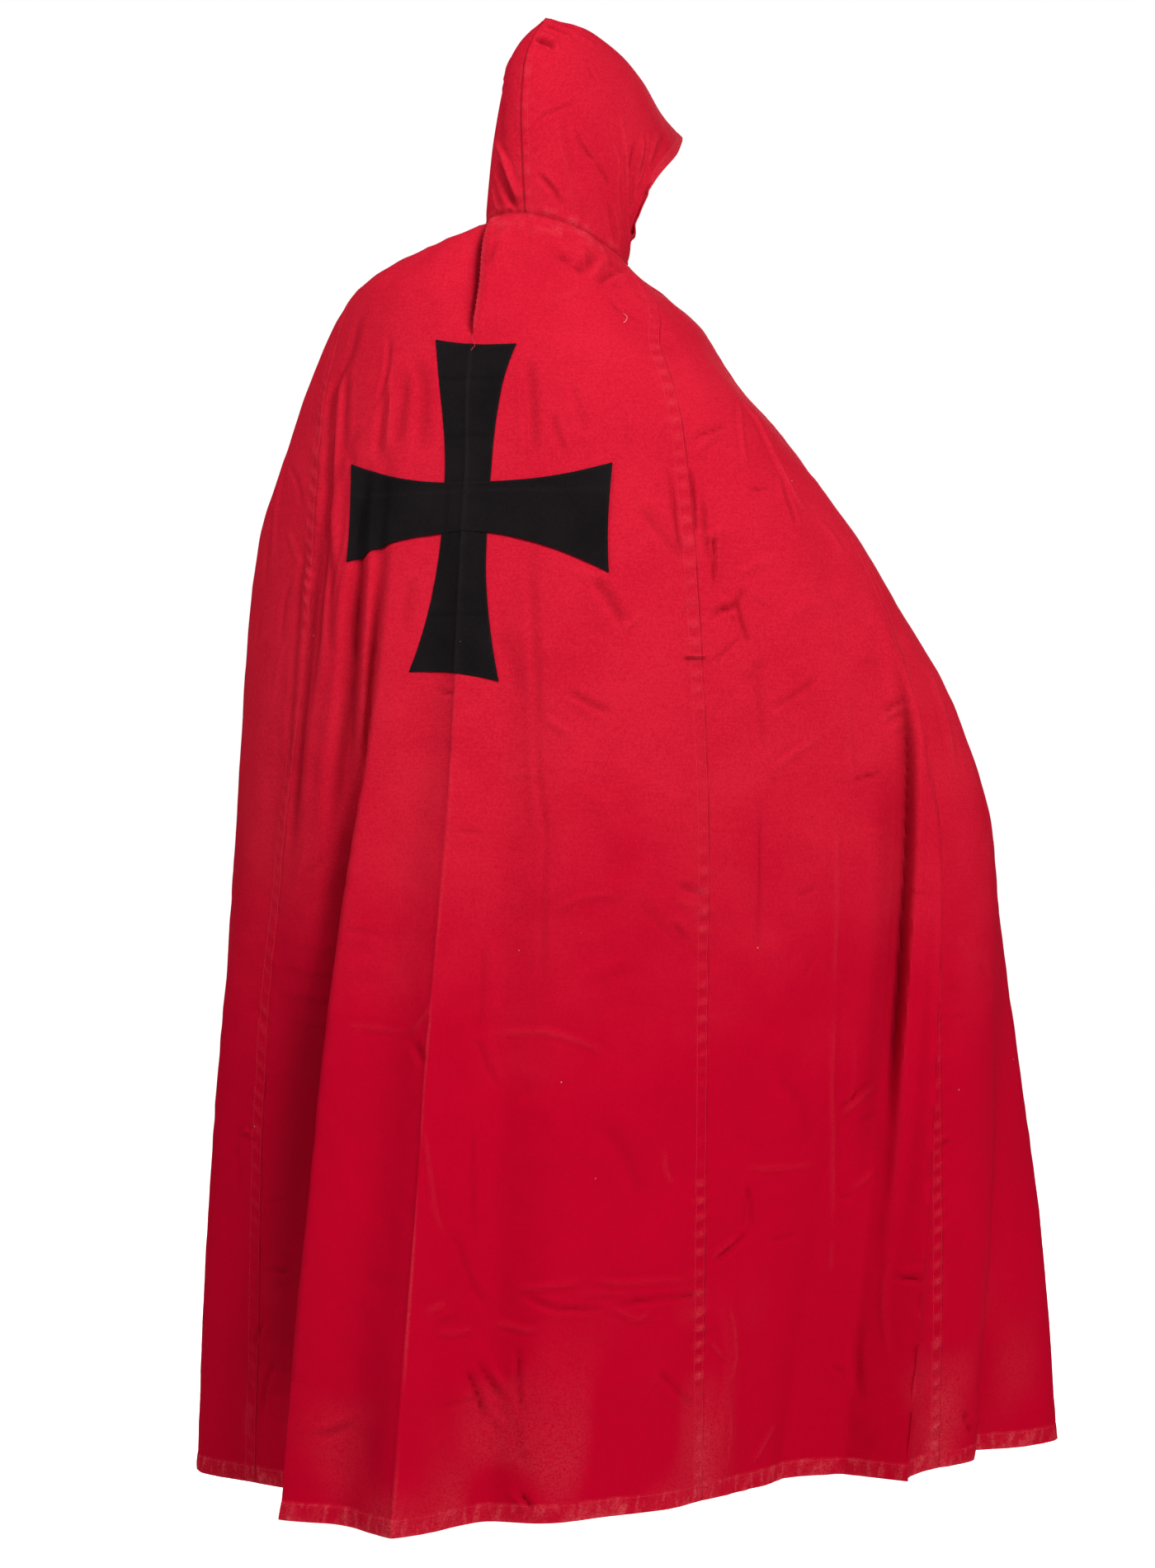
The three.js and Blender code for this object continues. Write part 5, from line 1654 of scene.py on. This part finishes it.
redThread = makeThread("red")
redLines = []
for name in panelPlan:
    sheet = sheets[name]
    sheet["fromHem"] = form["hemDrop"] - sheet["drop"]
    first, last = panelPlan[name][:2]
    redLines.append(lineAcross(sheet, "fromHem", sewn["overHem"]))
    redLines.append(lineAcross(sheet, "drop", sewn["underNeck"]))
    for seam, key in ((first, "fromLeft"), (last, "fromRight")):
        if seam not in felled:
            redLines.append(lineDown(sheet, key, sewn["frontEdge"]))
        elif key == "fromRight":
            redLines += [lineDown(sheet, key, distance) for distance in sewn["seam"]]
for name in ("hood_right", "hood_left"):
    sheet = sheets[name]
    redLines.append(lineAcross(sheet, "fromNeck", sewn["hoodNeck"]))
    redLines.append(lineDown(sheet, "fromFace", sewn["hoodFace"]))
    if name == "hood_right":
        redLines.append(lineDown(sheet, "fromBack", sewn["hoodSeam"]))
        redLines.append(lineAcross(sheet, "fromCrown", sewn["hoodSeam"]))
redRuns = [stitchesAlong(line, "machine") for line in redLines]
tuckLine = lineDown(backSheet, "fromTuck", sewn["besideTuck"])[:sewn["tuckRows"]]
redRuns.append(stitchesAlong(tuckLine, "hand", turn=sewn["tuckSlant"]))
stitchPiece("red_sewing", redRuns, redThread)

# the cross is sewn down close to its edges
crossRuns = []
for name in ("cross_upper_arm", "cross_bar", "cross_lower_arm"):
    grid = np.concatenate([sheets[name]["points"] / mm, sheets[name]["normal"]], axis=-1)
    crossRuns += [stitchesAlong(edge, "cross") for edge in (grid[:, 1], grid[:, -2], grid[1], grid[-2])]
stitchPiece("cross_sewing", crossRuns, makeThread("black"))

# thread ends that lie on the back: distances from the crease and depths, with their lift
threadEnds = {
    "red_thread_end": [(0, 124, 3), (1, 130, 4), (4, 134, 5), (5, 138, 4), (2, 142, 3.2), (1, 144, 3)],
    "pale_thread_end": [(177, 63, 0.6), (179, 66, 1.6), (181, 70, 2.0), (180, 74, 1.4), (177, 77, 0.6)],
}
for name, look in (("red_thread_end", redThread), ("pale_thread_end", makeThread("pale"))):
    places = threadEnds[name]
    path = smoothPath([onBack(distance, drop, lift) for distance, drop, lift in places], 0.8)
    distance, drop = places[0][:2]
    normals = np.tile(onBack(distance, drop, 1) - onBack(distance, drop), (len(path), 1))
    run = stitchesAlong(np.concatenate([path, normals], axis=1), "loose")
    stitchPiece(name, [run], look)
print("sewing made")


studio = {
    "floorDrop": 1.56,
    "floorSize": 40,
    "floorColour": (0.8, 0.8, 0.8, 1),
    "floorGlow": 0.98,
    "surround": 0.10,
    "key": {"place": (-2.6, 1.7, 1.25), "aim": (0, 0, -0.5), "size": (1.3, 1.3), "power": 142},
    "fill": {"place": (1.2, 1.7, 1.5), "aim": (0, 0, -0.1), "size": (1.5, 1.5), "power": 62},
    "front": {"place": (0.7, -2.8, 0.7), "aim": (0, 0, -0.6), "size": (1.6, 1.6), "power": 58},
}


def cameraSees(tree, hidden, seen):
    # one value for what the camera sees directly and another for what lights the cloth
    path = tree.nodes.new("ShaderNodeLightPath")
    level = tree.nodes.new("ShaderNodeMapRange")
    level.inputs["To Min"].default_value = hidden
    level.inputs["To Max"].default_value = seen
    tree.links.new(path.outputs["Is Camera Ray"], level.inputs["Value"])
    return level.outputs["Result"]


deselectAll()
bpy.ops.mesh.primitive_plane_add(size=studio["floorSize"], location=(0, 0, -studio["floorDrop"]))
floor = bpy.context.object
floor.name = "floor"
floorLook = Surface("floor")
floor.data.materials.append(floorLook.finish({
    "Base Color": studio["floorColour"],
    "Roughness": 0.9,
    "Emission Color": Value(floorLook, cameraSees(floorLook.tree, 0.0, studio["floorGlow"])),
    "Emission Strength": 1.0,
}))

world = bpy.data.worlds.new("studio")
bpy.context.scene.world = world
world.use_nodes = True
sky = world.node_tree.nodes["Background"]
sky.inputs["Color"].default_value = (1, 1, 1, 1)
world.node_tree.links.new(cameraSees(world.node_tree, studio["surround"], 1.0), sky.inputs["Strength"])

for name in ("key", "fill", "front"):
    plan = studio[name]
    deselectAll()
    bpy.ops.object.light_add(type="AREA", location=plan["place"])
    light = bpy.context.object
    light.name = name
    light.data.shape = "RECTANGLE"
    light.data.size = plan["size"][0]
    light.data.size_y = plan["size"][1]
    light.data.energy = plan["power"]
    towards = Vector(plan["aim"]) - Vector(plan["place"])
    light.rotation_euler = towards.to_track_quat("-Z", "Y").to_euler()

cameraPlan = {"place": (-1.588, 3.342, -0.645), "look": (0.4226, -0.9063, 0.0), "lens": 70.1, "sensor": 36}
bpy.ops.object.camera_add(location=cameraPlan["place"])
camera = bpy.context.object
camera.data.sensor_width = cameraPlan["sensor"]
camera.data.lens = cameraPlan["lens"]
camera.rotation_euler = Vector(cameraPlan["look"]).to_track_quat("-Z", "Y").to_euler()
bpy.context.scene.camera = camera
bpy.context.scene.view_settings.view_transform = "Standard"
bpy.context.scene.view_settings.look = "None"

print("scene ready")
